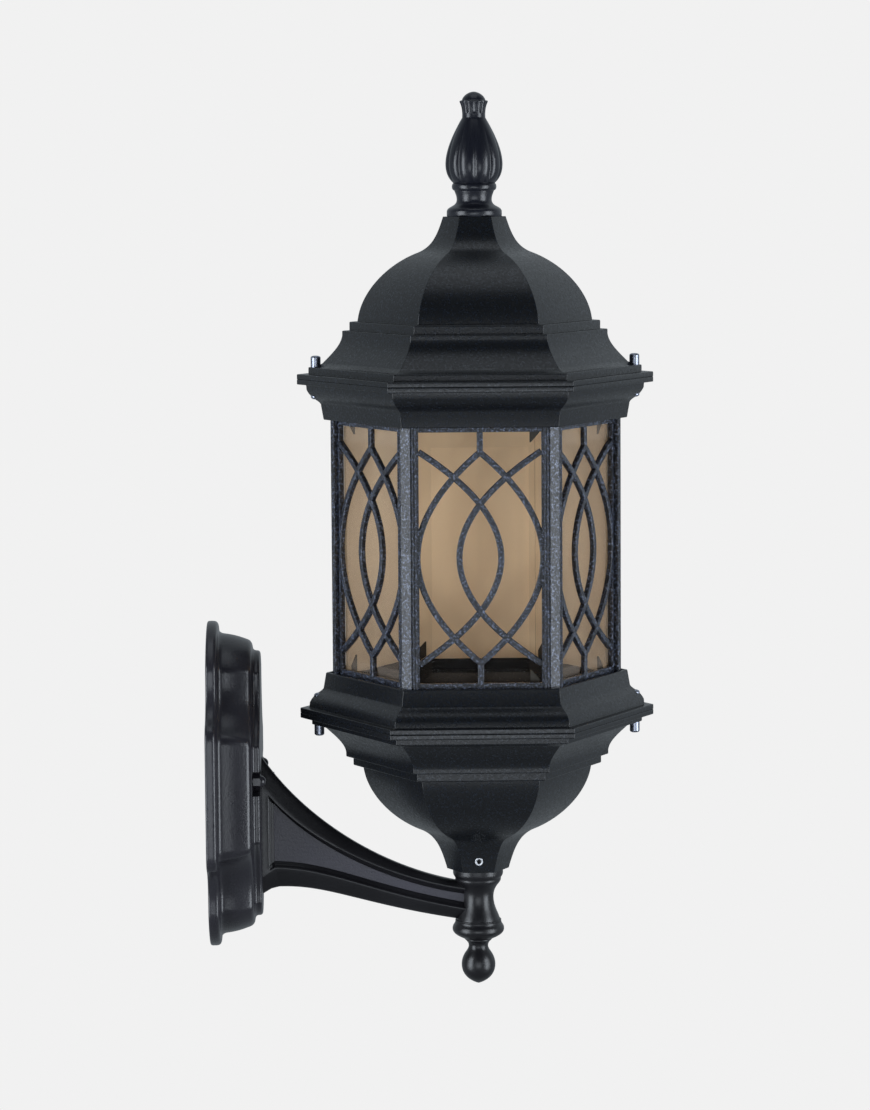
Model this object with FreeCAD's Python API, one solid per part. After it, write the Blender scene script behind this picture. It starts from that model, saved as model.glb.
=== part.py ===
import FreeCAD, Part
import math
import os
from FreeCAD import Base

# Hexagonal wall lantern: cast head on a bottom arm from a stepped wall plate.
# Millimetres, +Z up. The origin is on the wall, at the middle of the outlet box.
# +X runs away from the wall. Two corners of the hexagon point along +X and -X.

# Where the head stands
head_x = 171.0
head_mid_z = 144.0

# Sizes of the hexagon, given at its corners and counted from the head's mid height
flange_r = 112.5
flange_outer_h = 109.3
cap_flange = 3.2
ring_flange = 3.3
cove_ledge = 5.7
cove_fillet = 3.4
cove_w = 8.9
cove_h = 9.2
ring_edge_in = 16.6
ring_skin = 2.25
ring_lap = 1.5
ring_mouth_in = 11.5
shelf_drop = 20.9
shelf_thick = 3.0
shelf_w = 15.15
bolt_in = 12.0
bolt_seat_drop = 6.8
fit_gap = 0.2

# Roof and bowl share one bell profile, counted outward from the flange; the bowl is a little slimmer
cap_height = 98.2
cap_mouth_in = 22.0
flange_ledge = 7.3
plinth_h = 4.4
plinth_top_w = 3.4
skirt_foot_in = 8.8
skirt_foot_rise = 2.2
skirt_w = 12.7
skirt_h = 17.9
bowl_skirt_h = 16.0
step_low_rise = 2.7
step_low_w = 4.6
step_high_rise = 5.6
step_high_w = 5.1
bowl_step_w = 6.2
neck_r = 19.8
neck_flare = 15.2
neck_h = 22.1
bowl_neck_h = 24.6
cap_wall = 3.4
lid_thick = 6.0
hub_len = 23.7

# Cage of six posts, six lattice panels and six bevelled panes
post_wall = 3.0
post_nose_cut = 1.9
post_leg = 7.7
post_port_r = 2.8
post_port_in = 5.4
post_groove = 0.7
lattice_thick = 3.0
lattice_lap = 2.0
lattice_frame_w = 3.4
lattice_frame_h = 3.0
lattice_bar = 3.8
lattice_stub = 12.4
lens_half_w = 12.8
pane_thick = 4.0
pane_side_gap = 1.0
pane_head_gap = 3.0
bevel_w = 11.0
bevel_edge = 1.6
clip_thick = 0.8
clip_half_w = 3.0
clip_reach = 11.4
clip_in = 7.3

# Wall plate, counted from its own middle, which lies below the outlet box
plate_drop = 7.0
plate_half_w = 66.0
plate_side_h = 45.5
plate_bite = 24.0
plate_top_h = 104.0
plate_ear_rise = 25.0
plate_corner_r = 12.0
plate_corner_min = 3.0
plate_rim = 7.0
plate_body_in = 7.5
plate_draft = 3.0
plate_body_x = 29.0
plate_pad_in = 19.0
plate_front = 33.5
plate_wall = 4.0

# Strap, studs and fasteners
strap_spacing = 88.9
stud_spacing = 69.85
strap_half_l = 51.0
strap_half_w = 10.0
strap_thick = 3.0
strap_wire_r = 6.5
ground_at = (20.0, 3.0)
stud_r = 2.4
nut_notch_r = 7.5
box_slot_r = 2.4
box_slot_l = 8.0
screw_r = 2.0
screw_head_r = 3.2
post_screw_r = 1.5
post_screw_l = 14.0
cap_bolt_r = 2.0
cap_nut_r = 3.15
cap_nut_h = 7.2

# Arm, with heights at the plate counted from the outlet box and at the spindle from its collar
rail_half_w = 7.5
rail_round = 3.0
web_half_w = 3.4
arm_top_z = 10.0
arm_low_z = -74.0
arm_foot_l = 10.5
arm_foot_h = 4.5
arm_end_in = 6.0
arm_end_top = 9.0
arm_end_low = 33.7
stile_w = 7.0
panel_top_drop = 27.0
panel_low_rise = 14.5
panel_end_top = 15.3
panel_end_low = 22.5
wireway_r = 3.0
wireway_start_z = -67.5
wireway_end_drop = 27.5
arm_screw_z = (-2.0, -48.0)

# Turned ornaments, each drawn to its own height
finial_h = 77.7
finial_stud_r = 3.0
flutes = 10
spindle_h = 45.6
drop_h = 29.4
drop_stud_r = 2.5

# Stem and lamp holder
spigot_r = 8.0
spigot_h = 21.5
stem_r = 4.9
stem_bore = 3.4
stem_fit = 0.15
stem_depth = 30.0
set_screw_r = 2.7
set_screw_rise = 7.7
holder_r = 18.5
holder_h = 46.0
holder_sink = 30.7
lamp_bore = 13.2
shell_thick = 1.2
contact_well_r = 8.0

COS30 = math.cos(math.radians(30))
V = Base.Vector
Z_AXIS = V(0, 0, 1)
AXIS = V(head_x, 0, 0)

# Worked out from the sizes above: heights of the head, then radii from the flange inward
cap_z = head_mid_z + flange_outer_h
roof_top = cap_z + cap_height
bowl_top_z = head_mid_z - flange_outer_h
collar_z = bowl_top_z - cap_height
set_screw_z = collar_z + set_screw_rise
hub_top_z = collar_z + hub_len
holder_z = bowl_top_z - holder_sink
holder_top = holder_z + holder_h
flange_top_h = flange_outer_h - cap_flange
flange_low_h = flange_top_h - ring_flange
shelf_under_h = flange_low_h - shelf_drop
ring_edge_h = shelf_under_h - ring_lap
bolt_r = flange_r - bolt_in
pocket_r = flange_r - ring_edge_in - ring_skin
post_face = pocket_r * COS30 - fit_gap
post_corner = post_face / COS30
post_port_at = post_corner - post_port_in
post_leg_end = post_corner / 2 - post_leg
lattice_half_w = post_leg_end + lattice_lap
lattice_open_w = lattice_half_w - lattice_frame_w
lattice_open_h = ring_edge_h - lattice_frame_h
pane_outer = post_face - post_wall - lattice_thick


def line(a, b):
    return Part.makeLine(V(*a), V(*b))


def curve(*poles):
    bezier = Part.BezierCurve()
    bezier.setPoles([V(*p) for p in poles])
    return bezier.toShape()


def chain(*runs):
    """A closed wire in the XZ plane; a run is a tuple of (r, z) poles, joined end to end."""
    edges = []
    start = runs[0][0]
    last = start
    for run in runs:
        poles = [last] + [p for p in run if p != last]
        if len(poles) == 4:
            edges.append(curve(*[(r, 0, z) for r, z in poles]))
        else:
            for a, b in zip(poles, poles[1:]):
                edges.append(line((a[0], 0, a[1]), (b[0], 0, b[1])))
        last = poles[-1]
    if last != start:
        edges.append(line((last[0], 0, last[1]), (start[0], 0, start[1])))
    return Part.Wire(edges)


def bow(a, b, p, q):
    """Poles of a cubic from a to b; p and q place the two middle poles as shares of the box between."""
    return (a, (a[0] + p[0] * (b[0] - a[0]), a[1] + p[1] * (b[1] - a[1])),
            (a[0] + q[0] * (b[0] - a[0]), a[1] + q[1] * (b[1] - a[1])), b)


def turned(shape, angle, centre=AXIS):
    copy = shape.copy()
    copy.rotate(centre, Z_AXIS, angle)
    return copy


def moved(shape, x=0, y=0, z=0):
    copy = shape.copy()
    copy.translate(V(x, y, z))
    return copy


def hex_sweep(section):
    """Carries a corner section round the six corners of the head, straight from one to the next."""
    first = moved(section, x=head_x)
    corners = [turned(first, 60 * k) for k in range(6)]
    return Part.makeLoft(corners + [corners[0]], True, True)


def hex_prism(corner_r, z0, z1):
    points = [V(head_x + corner_r * math.cos(math.radians(60 * k)),
                corner_r * math.sin(math.radians(60 * k)), z0) for k in range(7)]
    return Part.Face(Part.makePolygon(points)).extrude(V(0, 0, z1 - z0))


def rod(r, z0, z1, x=head_x, y=0):
    return Part.makeCylinder(r, z1 - z0, V(x, y, z0))


def rod_x(r, x0, x1, y, z):
    return Part.makeCylinder(r, x1 - x0, V(x0, y, z), V(1, 0, 0))


def spun(section, x=head_x):
    solid = Part.Face(section).revolve(V(0, 0, 0), Z_AXIS, 360)
    return moved(solid, x=x)


def flipped(shape):
    """Mirrors a piece of the head's upper half to its lower half."""
    return shape.mirror(V(head_x, 0, head_mid_z), Z_AXIS)


def hex_nut(across, height, z0, bore, x=head_x, y=0):
    corner = across / 2 / COS30
    points = [V(x + corner * math.cos(math.radians(60 * k)),
                y + corner * math.sin(math.radians(60 * k)), z0) for k in range(7)]
    body = Part.Face(Part.makePolygon(points)).extrude(V(0, 0, height))
    cone = spun(chain(((0, z0 - 1), (corner, z0 - 1), (corner, z0 + height - 0.8),
                       (across / 2 - 0.3, z0 + height), (0, z0 + height))), 0)
    return body.common(moved(cone, x=x, y=y)).cut(rod(bore, z0, z0 + height, x, y))


def corner_places():
    """The two corners, one towards the wall and one away from it, that carry bolts."""
    return [head_x - bolt_r, head_x + bolt_r]


# Roof and bowl

def bell(z0, skirt_rise, dome_ledge, neck_rise):
    """The bell casting with its mouth flange at the bottom, hollow, open at the neck."""
    w = cap_wall
    plinth_r = flange_r - flange_ledge
    foot = (plinth_r - skirt_foot_in, plinth_h + skirt_foot_rise)
    step = (foot[0] - skirt_w, foot[1] + skirt_rise)
    step_top = step[1] + step_low_rise
    high_r = step[0] - step_low_w
    high_top = step_top + step_high_rise
    dome = (high_r - dome_ledge, high_top)
    dome_end = (neck_r + neck_flare, cap_height - neck_rise)
    mouth_r = flange_r - cap_mouth_in
    inner_end = (dome_end[0] - w / 2, dome_end[1] - w)
    section = chain(
        ((flange_r, -cap_flange), (flange_r, 0)),
        ((plinth_r, 0), (plinth_r, plinth_h)),
        ((plinth_r - plinth_top_w, plinth_h), foot),
        bow(foot, step, (0.50, 0.36), (0.95, 0.66)),
        ((step[0], step_top), (high_r, step_top)),
        ((high_r, high_top), dome),
        bow(dome, dome_end, (0.04, 0.40), (0.45, 0.82)),
        bow(dome_end, (neck_r, cap_height), (0.56, 0.17), (0.76, 0.47)),
        ((neck_r - w, cap_height), (neck_r - w, cap_height - neck_rise / 2)),
        (inner_end,),
        bow(inner_end, (dome[0] - w, high_top - w / 2), (0.56, 0.19), (0.96, 0.59)),
        ((dome[0] - w, step_top - w / 2), (step[0] - w, step[1] - w / 2)),
        bow((step[0] - w, step[1] - w / 2), (mouth_r, w / 2), (0.06, 0.27), (0.62, 0.66)),
        ((mouth_r, -cap_flange),))
    shell = hex_sweep(moved(section, z=z0))
    for x in corner_places():
        shell = shell.cut(rod(cap_nut_r + 0.4, z0 + plinth_h, z0 + plinth_h + 2 * cap_nut_h, x))
        shell = shell.cut(rod(cap_bolt_r + 0.3, z0 - cap_nut_h, z0 + cap_nut_h, x))
    return shell


def roof():
    lid = hex_prism(neck_r - cap_wall / 2, roof_top - lid_thick, roof_top)
    hole = rod(finial_stud_r + 0.3, roof_top - 2 * lid_thick, roof_top + 1)
    shell = bell(cap_z, skirt_h, step_high_w, neck_h)
    return shell.fuse(lid).cut(hole).removeSplitter()


def bowl():
    """The bell turned over, with a hub in its neck for the spigot and three set screws."""
    hub = hex_prism(neck_r - cap_wall / 3, roof_top - hub_len, roof_top)
    solid = bell(cap_z, bowl_skirt_h, bowl_step_w, bowl_neck_h).fuse(hub)
    solid = solid.cut(rod(spigot_r + 0.3, roof_top - 2 * hub_len, roof_top + 1))
    solid = flipped(solid).removeSplitter()
    for angle in (30, 150, 270):
        hole = rod_x(set_screw_r + 0.1, head_x + spigot_r, head_x + 2 * neck_r, 0, set_screw_z)
        solid = solid.cut(turned(hole, angle))
    return solid


def neck_set_screws():
    """Three socket set screws from the neck's face to the spigot."""
    face = head_x + neck_r - 0.8
    screw = rod_x(set_screw_r, head_x + spigot_r, face, 0, set_screw_z)
    key = moved(hex_prism(set_screw_r * 0.55, 0, set_screw_r), x=-head_x)
    key.rotate(V(0, 0, 0), V(0, 1, 0), 90)
    screw = screw.cut(moved(key, x=face - 0.9 * set_screw_r, z=set_screw_z))
    return Part.makeCompound([turned(screw, a) for a in (30, 150, 270)])


# Upper and lower ring

def ring():
    """Cornice with a flange, a cove and a fascia; a shelf inside carries the posts."""
    z = head_mid_z
    ledge_r = flange_r - cove_ledge
    cove = (ledge_r - 0.3, flange_low_h - cove_fillet)
    cove_end = (cove[0] - cove_w, cove[1] - cove_h)
    edge_r = flange_r - ring_edge_in
    mouth_r = flange_r - ring_mouth_in
    shelf_top = shelf_under_h + shelf_thick
    section = chain(
        ((flange_r, flange_top_h), (flange_r, flange_low_h)),
        ((ledge_r, flange_low_h), cove),
        bow(cove, cove_end, (0.34, 0.67), (0.84, 0.70)),
        ((edge_r, ring_edge_h), (pocket_r, ring_edge_h)),
        ((pocket_r, shelf_under_h), (pocket_r - shelf_w, shelf_under_h)),
        ((pocket_r - shelf_w, shelf_top), (pocket_r, shelf_top)),
        ((pocket_r, cove_end[1]), (mouth_r, flange_low_h - 2.8)),
        ((mouth_r, flange_top_h),))
    solid = hex_sweep(moved(section, z=z))
    seat = z + flange_low_h - bolt_seat_drop
    for x in corner_places():
        solid = solid.fuse(rod(2.5 * cap_bolt_r, seat + 2.5, z + flange_top_h, x))
        solid = solid.cut(rod(screw_head_r + 0.5, seat - 10, seat, x))
        solid = solid.cut(rod(cap_bolt_r + 0.3, seat - 10, z + flange_top_h + 1, x))
    for k in range(6):
        hole = rod(post_screw_r + 0.3, z + shelf_under_h - 2, z + shelf_top + 2, head_x + post_port_at)
        solid = solid.cut(turned(hole, 60 * k))
    return solid.removeSplitter()


def cap_screws():
    """Pan head under the cove, shank up through both flanges."""
    seat = head_mid_z + flange_low_h - bolt_seat_drop
    end = cap_z + plinth_h + cap_nut_h - 1.6
    rim = seat - 0.4 * screw_head_r
    crown = seat - 0.85 * screw_head_r
    head = chain(((0, seat), (screw_head_r, seat), (screw_head_r, rim)),
                 bow((screw_head_r, rim), (0, crown), (0.1, 0.7), (0.5, 1.0)))
    screw = spun(head, 0).fuse(rod(cap_bolt_r, seat - 0.5, end, 0))
    return Part.makeCompound([moved(screw, x=x) for x in corner_places()])


def cap_nuts():
    """Tall round cap nut with a domed end, seated on the plinth."""
    z = cap_z + plinth_h
    shoulder = (cap_nut_r, z + 0.83 * cap_nut_h)
    nut = spun(chain(((0, z), (cap_nut_r, z), shoulder),
                     bow(shoulder, (0, z + cap_nut_h), (0.08, 0.75), (0.37, 1.0))), 0)
    nut = nut.cut(rod(cap_bolt_r, z - 1, z + cap_nut_h - 1.5, 0))
    return Part.makeCompound([moved(nut, x=x) for x in corner_places()])


# Cage

def post():
    """Angle post at the corner that points along +X: faceted nose, two legs and a screw port."""
    nose = post_corner - post_nose_cut
    nose_half = post_nose_cut * math.tan(math.radians(60))
    across = V(math.cos(math.radians(30)), math.sin(math.radians(30)), 0)
    along = V(-across.y, across.x, 0)

    def leg_point(apothem, t):
        p = across * apothem - along * t
        return V(p.x, p.y, 0)

    outer_end = leg_point(post_face, post_leg_end)
    inner_end = leg_point(post_face - post_wall, post_leg_end)
    inner_apex = V((post_face - post_wall) / COS30, 0, 0)
    upper = [V(nose, nose_half, 0), outer_end, inner_end, inner_apex]
    lower = [V(p.x, -p.y, 0) for p in reversed(upper[:-1])]
    outline = Part.makePolygon(upper + lower + [upper[0]])
    length = 2 * shelf_under_h
    solid = Part.Face(outline).extrude(V(0, 0, length))
    solid = solid.fuse(Part.makeCylinder(post_port_r, length, V(post_port_at, 0, 0)))
    for t in (post_leg_end + 2.3 * post_groove, post_leg_end + 4.9 * post_groove):
        groove = Part.makeBox(2 * post_groove, post_groove, length, V(post_face - post_groove, -t, 0))
        groove.rotate(V(0, 0, 0), Z_AXIS, 30)
        solid = solid.cut(groove).cut(groove.mirror(V(0, 0, 0), V(0, 1, 0)))
    solid = solid.cut(Part.makeCylinder(post_screw_r, length, V(post_port_at, 0, 0)))
    return moved(solid.removeSplitter(), x=head_x, z=head_mid_z - shelf_under_h)


def post_screws():
    z = shelf_under_h + shelf_thick
    head = Part.makeCylinder(1.9 * post_screw_r, 1.2 * post_screw_r, V(post_port_at, 0, z))
    shank = Part.makeCylinder(post_screw_r, post_screw_l, V(post_port_at, 0, z - post_screw_l))
    screw = head.fuse(shank)
    top = moved(screw, x=head_x, z=head_mid_z)
    pairs = [turned(s, 60 * k) for k in range(6) for s in (top, flipped(top))]
    return Part.makeCompound(pairs)


def strip(poles, width):
    """A flat bar of the lattice's thickness that follows a curve in the panel's plane."""
    path = curve(*[(0, y, z) for y, z in poles])
    start = path.valueAt(path.FirstParameter)
    tangent = path.tangentAt(path.FirstParameter)
    side = tangent.cross(V(1, 0, 0)) * (width / 2)
    depth = V(lattice_thick, 0, 0)
    corners = [start - side, start + side, start + side + depth, start - side + depth]
    profile = Part.makePolygon(corners + [corners[0]])
    return Part.Wire(path).makePipeShell([profile], True, False)


def lattice():
    """Interlaced arcs in a thin frame; the arcs are parabolas, so three poles draw each exactly."""
    h = shelf_under_h
    window = Part.makeBox(lattice_thick, 2 * lattice_half_w, 2 * h, V(0, -lattice_half_w, -h))
    frame = window.cut(Part.makeBox(3 * lattice_thick, 2 * lattice_open_w, 2 * lattice_open_h,
                                    V(-lattice_thick, -lattice_open_w, -lattice_open_h)))
    apex = lattice_open_h - lattice_stub
    reach = apex + lattice_bar / 8
    bulge = lattice_open_w + lattice_bar / 4
    bars = []
    for s in (1, -1):
        bars.append(strip(((0, -apex), (2 * s * bulge, 0), (0, apex)), lattice_bar))
        control = 2 * lens_half_w + lattice_open_w
        bars.append(strip(((-s * lattice_open_w, -reach), (s * control, 0), (-s * lattice_open_w, reach)),
                          lattice_bar))
        low = min(s * apex, s * (lattice_open_h + 1))
        bars.append(Part.makeBox(lattice_thick, lattice_bar, lattice_stub + 1, V(0, -lattice_bar / 2, low)))
    solid = frame.multiFuse([b.common(window) for b in bars]).removeSplitter()
    return turned(moved(solid, x=head_x + pane_outer, z=head_mid_z), 30)


def pane():
    """Plate glass with a wide bevel on the outer face, standing on the lower ring's shelf."""
    low = -shelf_under_h
    high = shelf_under_h - pane_head_gap
    half_w = lattice_half_w - pane_side_gap
    inner = pane_outer - pane_thick

    def outline(x, cut):
        w = half_w - cut
        points = [V(x, -w, low + cut), V(x, w, low + cut), V(x, w, high - cut), V(x, -w, high - cut)]
        return Part.makePolygon(points + [points[0]])

    edge = Part.makeLoft([outline(inner, 0), outline(inner + bevel_edge, 0)], True, True)
    bevel = Part.makeLoft([outline(inner + bevel_edge, 0), outline(pane_outer, bevel_w)], True, True)
    solid = edge.fuse(bevel).removeSplitter()
    return turned(moved(solid, x=head_x, z=head_mid_z), 30)


def pane_clip():
    """Bent spring tongue: a foot under the ring's shelf and a triangle against the glass."""
    back = pane_outer - pane_thick - clip_thick
    w = clip_half_w
    foot = Part.makeBox(5 * clip_thick, 2 * w, clip_thick, V(back - 4 * clip_thick, -w, shelf_under_h - clip_thick))
    tip = shelf_under_h - clip_reach
    points = [V(back, -w, shelf_under_h), V(back, w, shelf_under_h), V(back, w, tip + 2 * w),
              V(back, w / 4 - w, tip), V(back, -w, tip)]
    tongue = Part.Face(Part.makePolygon(points + [points[0]])).extrude(V(clip_thick, 0, 0))
    return moved(foot.fuse(tongue).removeSplitter(), x=head_x, y=lattice_half_w - clip_in, z=head_mid_z)


def pane_clips():
    first = turned(pane_clip(), 30)
    return Part.makeCompound([turned(s, 60 * k) for k in range(6) for s in (first, flipped(first))])


# Finial

def drawn(unit, z):
    """Turns a sketch point (radius, height) into millimetres for an ornament that starts at height z."""
    return lambda r, h: (r * unit, z + h * unit)


def finial():
    """Turned finial with a gadrooned bulb and a fluted crown."""
    unit = finial_h / 77.7
    at = drawn(unit, roof_top)
    bulb = (at(13.0, 20.8), at(20.5, 27.5), at(20.0, 40.0), at(7.3, 61.5))
    section = chain(
        (at(0, 0), at(17.3, 0), at(17.3, 3.2)),
        (at(17.3, 3.2), at(16.8, 6.6), at(11.0, 6.0), at(11.0, 10.5)),
        (at(11.0, 10.5), at(11.0, 13.0), at(12.0, 14.6), at(12.5, 16.2)),
        (at(12.5, 16.2), at(14.4, 16.6), at(14.4, 20.0), at(13.0, 20.8)),
        bulb,
        (at(7.3, 65.0),),
        (at(7.3, 65.0), at(7.4, 67.5), at(8.0, 69.5), at(8.9, 71.4)),
        (at(7.4, 72.4),),
        (at(7.4, 72.4), at(6.6, 75.4), at(3.0, 77.6), at(0, 77.7)))
    solid = spun(section)
    path = curve(*[(head_x + r + 0.35 * unit, 0, h) for r, h in bulb])
    start = path.FirstParameter
    round_cut = Part.makeCircle(1.5 * unit, path.valueAt(start), path.tangentAt(start))
    groove = Part.Wire(path).makePipeShell([Part.Wire(round_cut)], True, False)
    r, h = at(7.6, 64.2)
    flute = Part.makeCylinder(1.1 * unit, 9 * unit, V(head_x + r, 0, h), V(0.2, 0, 1))
    pitch = 360 / flutes
    for k in range(flutes):
        solid = solid.cut(turned(groove, pitch * (k + 0.5)))
        solid = solid.cut(turned(flute, pitch * (k + 0.5)))
    return solid.cut(rod(finial_stud_r, roof_top - 1, roof_top + 14 * unit))


def finial_stud():
    return rod(finial_stud_r, roof_top - 14, roof_top + finial_h / 6)


def finial_nut():
    return hex_nut(10, 5, roof_top - lid_thick - 5, finial_stud_r)


# Arm with its spindle

def spindle():
    at = drawn(spindle_h / 45.6, collar_z)
    section = chain(
        (at(0, 0), at(16.0, 0), at(16.0, -2.6)),
        (at(16.0, -2.6), at(15.9, -5.0), at(14.6, -5.0), at(14.6, -6.6)),
        (at(14.6, -6.6), at(14.9, -9.4), at(9.8, -11.0), at(9.8, -18.6)),
        (at(9.8, -18.6), at(9.8, -25.0), at(13.0, -29.0), at(13.9, -33.0)),
        (at(14.7, -33.0), at(14.7, -34.2)),
        (at(14.7, -34.2), at(14.9, -36.5), at(16.6, -36.5), at(16.5, -39.4)),
        (at(16.5, -39.4), at(16.3, -42.6), at(12.0, -44.0), at(9.0, -45.6)),
        (at(0, -45.6),))
    return spun(section)


def side_wire(upper, lower):
    """A closed outline in the arm's plane from two runs of cubics, closed by straight ends."""
    edges = [curve(*[(x, 0, z) for x, z in poles]) for poles in upper + lower]
    for a, b in ((upper[0][0], lower[0][0]), (upper[-1][-1], lower[-1][-1])):
        edges.append(line((a[0], 0, a[1]), (b[0], 0, b[1])))
    return Part.Wire(Part.__sortEdges__(edges))


def arm_side():
    end_x = head_x - arm_end_in
    foot = (plate_front + arm_foot_l, arm_low_z)
    top = bow((plate_front, arm_top_z), (end_x, collar_z - arm_end_top), (0.21, 0.51), (0.61, 0.91))
    heel = bow((plate_front, arm_low_z - arm_foot_h), foot, (0.10, 0.69), (0.43, 1.0))
    low = bow(foot, (end_x, collar_z - arm_end_low), (0.27, -0.04), (0.44, 0.56))
    return side_wire([top], [heel, low])


def arm_panel(grow):
    """The web's outline; grow widens it for the upper steps of the moulding."""
    x0 = plate_front + stile_w - grow
    x1 = head_x - arm_end_in - 2
    top = bow((x0, arm_top_z - panel_top_drop + 1.6 * grow), (x1, collar_z - panel_end_top + grow),
              (0.19, 0.42), (0.58, 0.86))
    low = bow((x0, arm_low_z + panel_low_rise - grow), (x1, collar_z - panel_end_low - grow),
              (0.31, 0.04), (0.48, 0.60))
    return side_wire([top], [low])


def slab(wire, y0, y1):
    return moved(Part.Face(wire).extrude(V(0, y1 - y0, 0)), y=y0)


def arm():
    body = slab(arm_side(), -rail_half_w, rail_half_w)
    long_edge = (head_x - plate_front) / 2
    rolled = [e for e in body.Edges if abs(abs(e.CenterOfMass.y) - rail_half_w) < 0.01 and e.Length > long_edge
              and abs(e.CenterOfMass.x - plate_front) > 1]
    body = body.makeFillet(rail_round, rolled)
    sunk = rail_half_w - web_half_w
    for grow, depth in ((0, sunk), (0.4 * sunk, 0.5 * sunk), (0.73 * sunk, 0.2 * sunk)):
        pocket = slab(arm_panel(grow), rail_half_w - depth, rail_half_w + 1)
        body = body.cut(pocket).cut(pocket.mirror(V(0, 0, 0), V(0, 1, 0)))
    body = body.fuse(spindle())
    body = body.fuse(rod(spigot_r, collar_z - 1, collar_z + spigot_h))
    bore_low = collar_z - stem_depth - 1
    body = body.cut(rod(stem_r + stem_fit, bore_low, collar_z + 2 * spigot_h))
    body = body.cut(rod(drop_stud_r, collar_z - spindle_h - 1, bore_low))
    way = V(head_x - plate_front, 0, collar_z - wireway_end_drop - wireway_start_z)
    body = body.cut(Part.makeCylinder(wireway_r, way.Length, V(plate_front, 0, wireway_start_z), way))
    for z in arm_screw_z:
        body = body.cut(rod_x(screw_r, plate_front - 1, plate_front + 9, 0, z))
    return body.removeSplitter()


def drop_finial():
    top = collar_z - spindle_h
    at = drawn(drop_h / 29.4, top)
    section = chain(
        (at(0, 0), at(8.6, 0), at(8.6, -0.6)),
        (at(8.6, -0.6), at(6.6, -2.4), at(6.2, -3.4), at(6.2, -5.0)),
        (at(6.2, -5.0), at(6.4, -8.0), at(10.6, -10.0), at(10.8, -16.8)),
        (at(10.8, -16.8), at(10.8, -24.0), at(5.5, -27.6), at(0, -29.4)))
    return spun(section).fuse(rod(drop_stud_r, top - 1, top + drop_h / 3.3))


# Wall plate

def plate_outline(inset, x):
    """Straight sides, four concave corners and two arched ears with rounded shoulders, as one offset family."""
    w = plate_half_w - inset
    bite = plate_bite + inset
    bite_z = plate_side_h + plate_bite
    ear_w = plate_half_w - bite
    ear0 = plate_half_w - plate_bite
    arch_r = (ear0 ** 2 + plate_ear_rise ** 2) / (2 * plate_ear_rise)
    arch_z = plate_top_h - arch_r
    arch = arch_r - inset
    r = max(plate_corner_r - inset / 2, plate_corner_min)
    side_z = bite_z - math.sqrt((bite + r) ** 2 - (inset + r) ** 2)
    ear_z = arch_z + math.sqrt((arch - r) ** 2 - (ear_w - r) ** 2)
    edges = []
    for s in (1, -1):
        def p(y, z):
            return V(x, s * y, s * z - plate_drop)
        for t in (1, -1):
            def arc(centre, radius, towards_a, towards_b):
                """The arc about centre between the directions of two other points, the short way round."""
                a = (towards_a - centre).normalize()
                b = (towards_b - centre).normalize()
                mid = (a + b).normalize()
                edges.append(Part.Arc(centre + a * radius, centre + mid * radius, centre + b * radius).toShape())
            side_c, bite_c = p(t * (w - r), side_z), p(t * plate_half_w, bite_z)
            ear_c, arch_c = p(t * (ear_w - r), ear_z), p(0, arch_z)
            edges.append(Part.makeLine(p(t * w, 0), p(t * w, side_z)))
            arc(side_c, r, p(t * w, side_z), bite_c)
            arc(bite_c, bite, side_c, p(t * ear_w, bite_z))
            edges.append(Part.makeLine(p(t * ear_w, bite_z), p(t * ear_w, ear_z)))
            arc(ear_c, r, p(t * ear_w, ear_z), ear_c * 2 - arch_c)
            arc(arch_c, arch, ear_c, p(0, plate_top_h))
    return Part.Wire(Part.__sortEdges__(edges))


def plate_step(inset0, x0, inset1, x1):
    return Part.makeLoft([plate_outline(inset0, x0), plate_outline(inset1, x1)], True, True)


def backplate():
    """Cast plate in three steps, hollow behind for the wiring, with an open notch in the pad for each nut."""
    roll = 2.4
    rim = plate_step(0, 0, 0, plate_rim - roll)
    rim = rim.fuse(plate_step(0, plate_rim - roll, roll, plate_rim))
    end_in = plate_body_in + plate_draft
    body = plate_step(plate_body_in, plate_rim, end_in, plate_body_x - 3.0)
    body = body.fuse(plate_step(end_in, plate_body_x - 3.0, end_in + 1.0, plate_body_x - 1.0))
    body = body.fuse(plate_step(end_in + 1.0, plate_body_x - 1.0, end_in + 3.2, plate_body_x))
    pad = plate_step(plate_pad_in, plate_body_x, plate_pad_in, plate_front - 1.0)
    pad = pad.fuse(plate_step(plate_pad_in, plate_front - 1.0, plate_pad_in + 1.0, plate_front))
    solid = rim.fuse(body).fuse(pad)
    solid = solid.cut(plate_step(plate_body_in + plate_wall, 0, end_in + plate_wall, plate_body_x - plate_wall))
    for y in (-stud_spacing / 2, stud_spacing / 2):
        solid = solid.cut(rod_x(stud_r + 0.3, 10, 50, y, 0))
        solid = solid.cut(rod_x(nut_notch_r, plate_body_x, 50, y, 0))
        open_to = min(y, math.copysign(plate_half_w, y))
        solid = solid.cut(Part.makeBox(20, plate_half_w - abs(y), 2 * nut_notch_r,
                                       V(plate_body_x, open_to, -nut_notch_r)))
    for z in arm_screw_z:
        solid = solid.cut(rod_x(screw_r + 0.25, 10, 50, 0, z))
    solid = solid.cut(rod_x(wireway_r + 0.5, 10, 50, 0, wireway_start_z))
    return solid.removeSplitter()


def arm_screws():
    seat = plate_body_x - plate_wall
    screws = []
    for z in arm_screw_z:
        head = rod_x(3.6, seat - 2.6, seat, 0, z)
        screws.append(head.fuse(rod_x(screw_r, seat, plate_front + 8, 0, z)))
    return Part.makeCompound(screws)


# Strap to the outlet box

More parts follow.
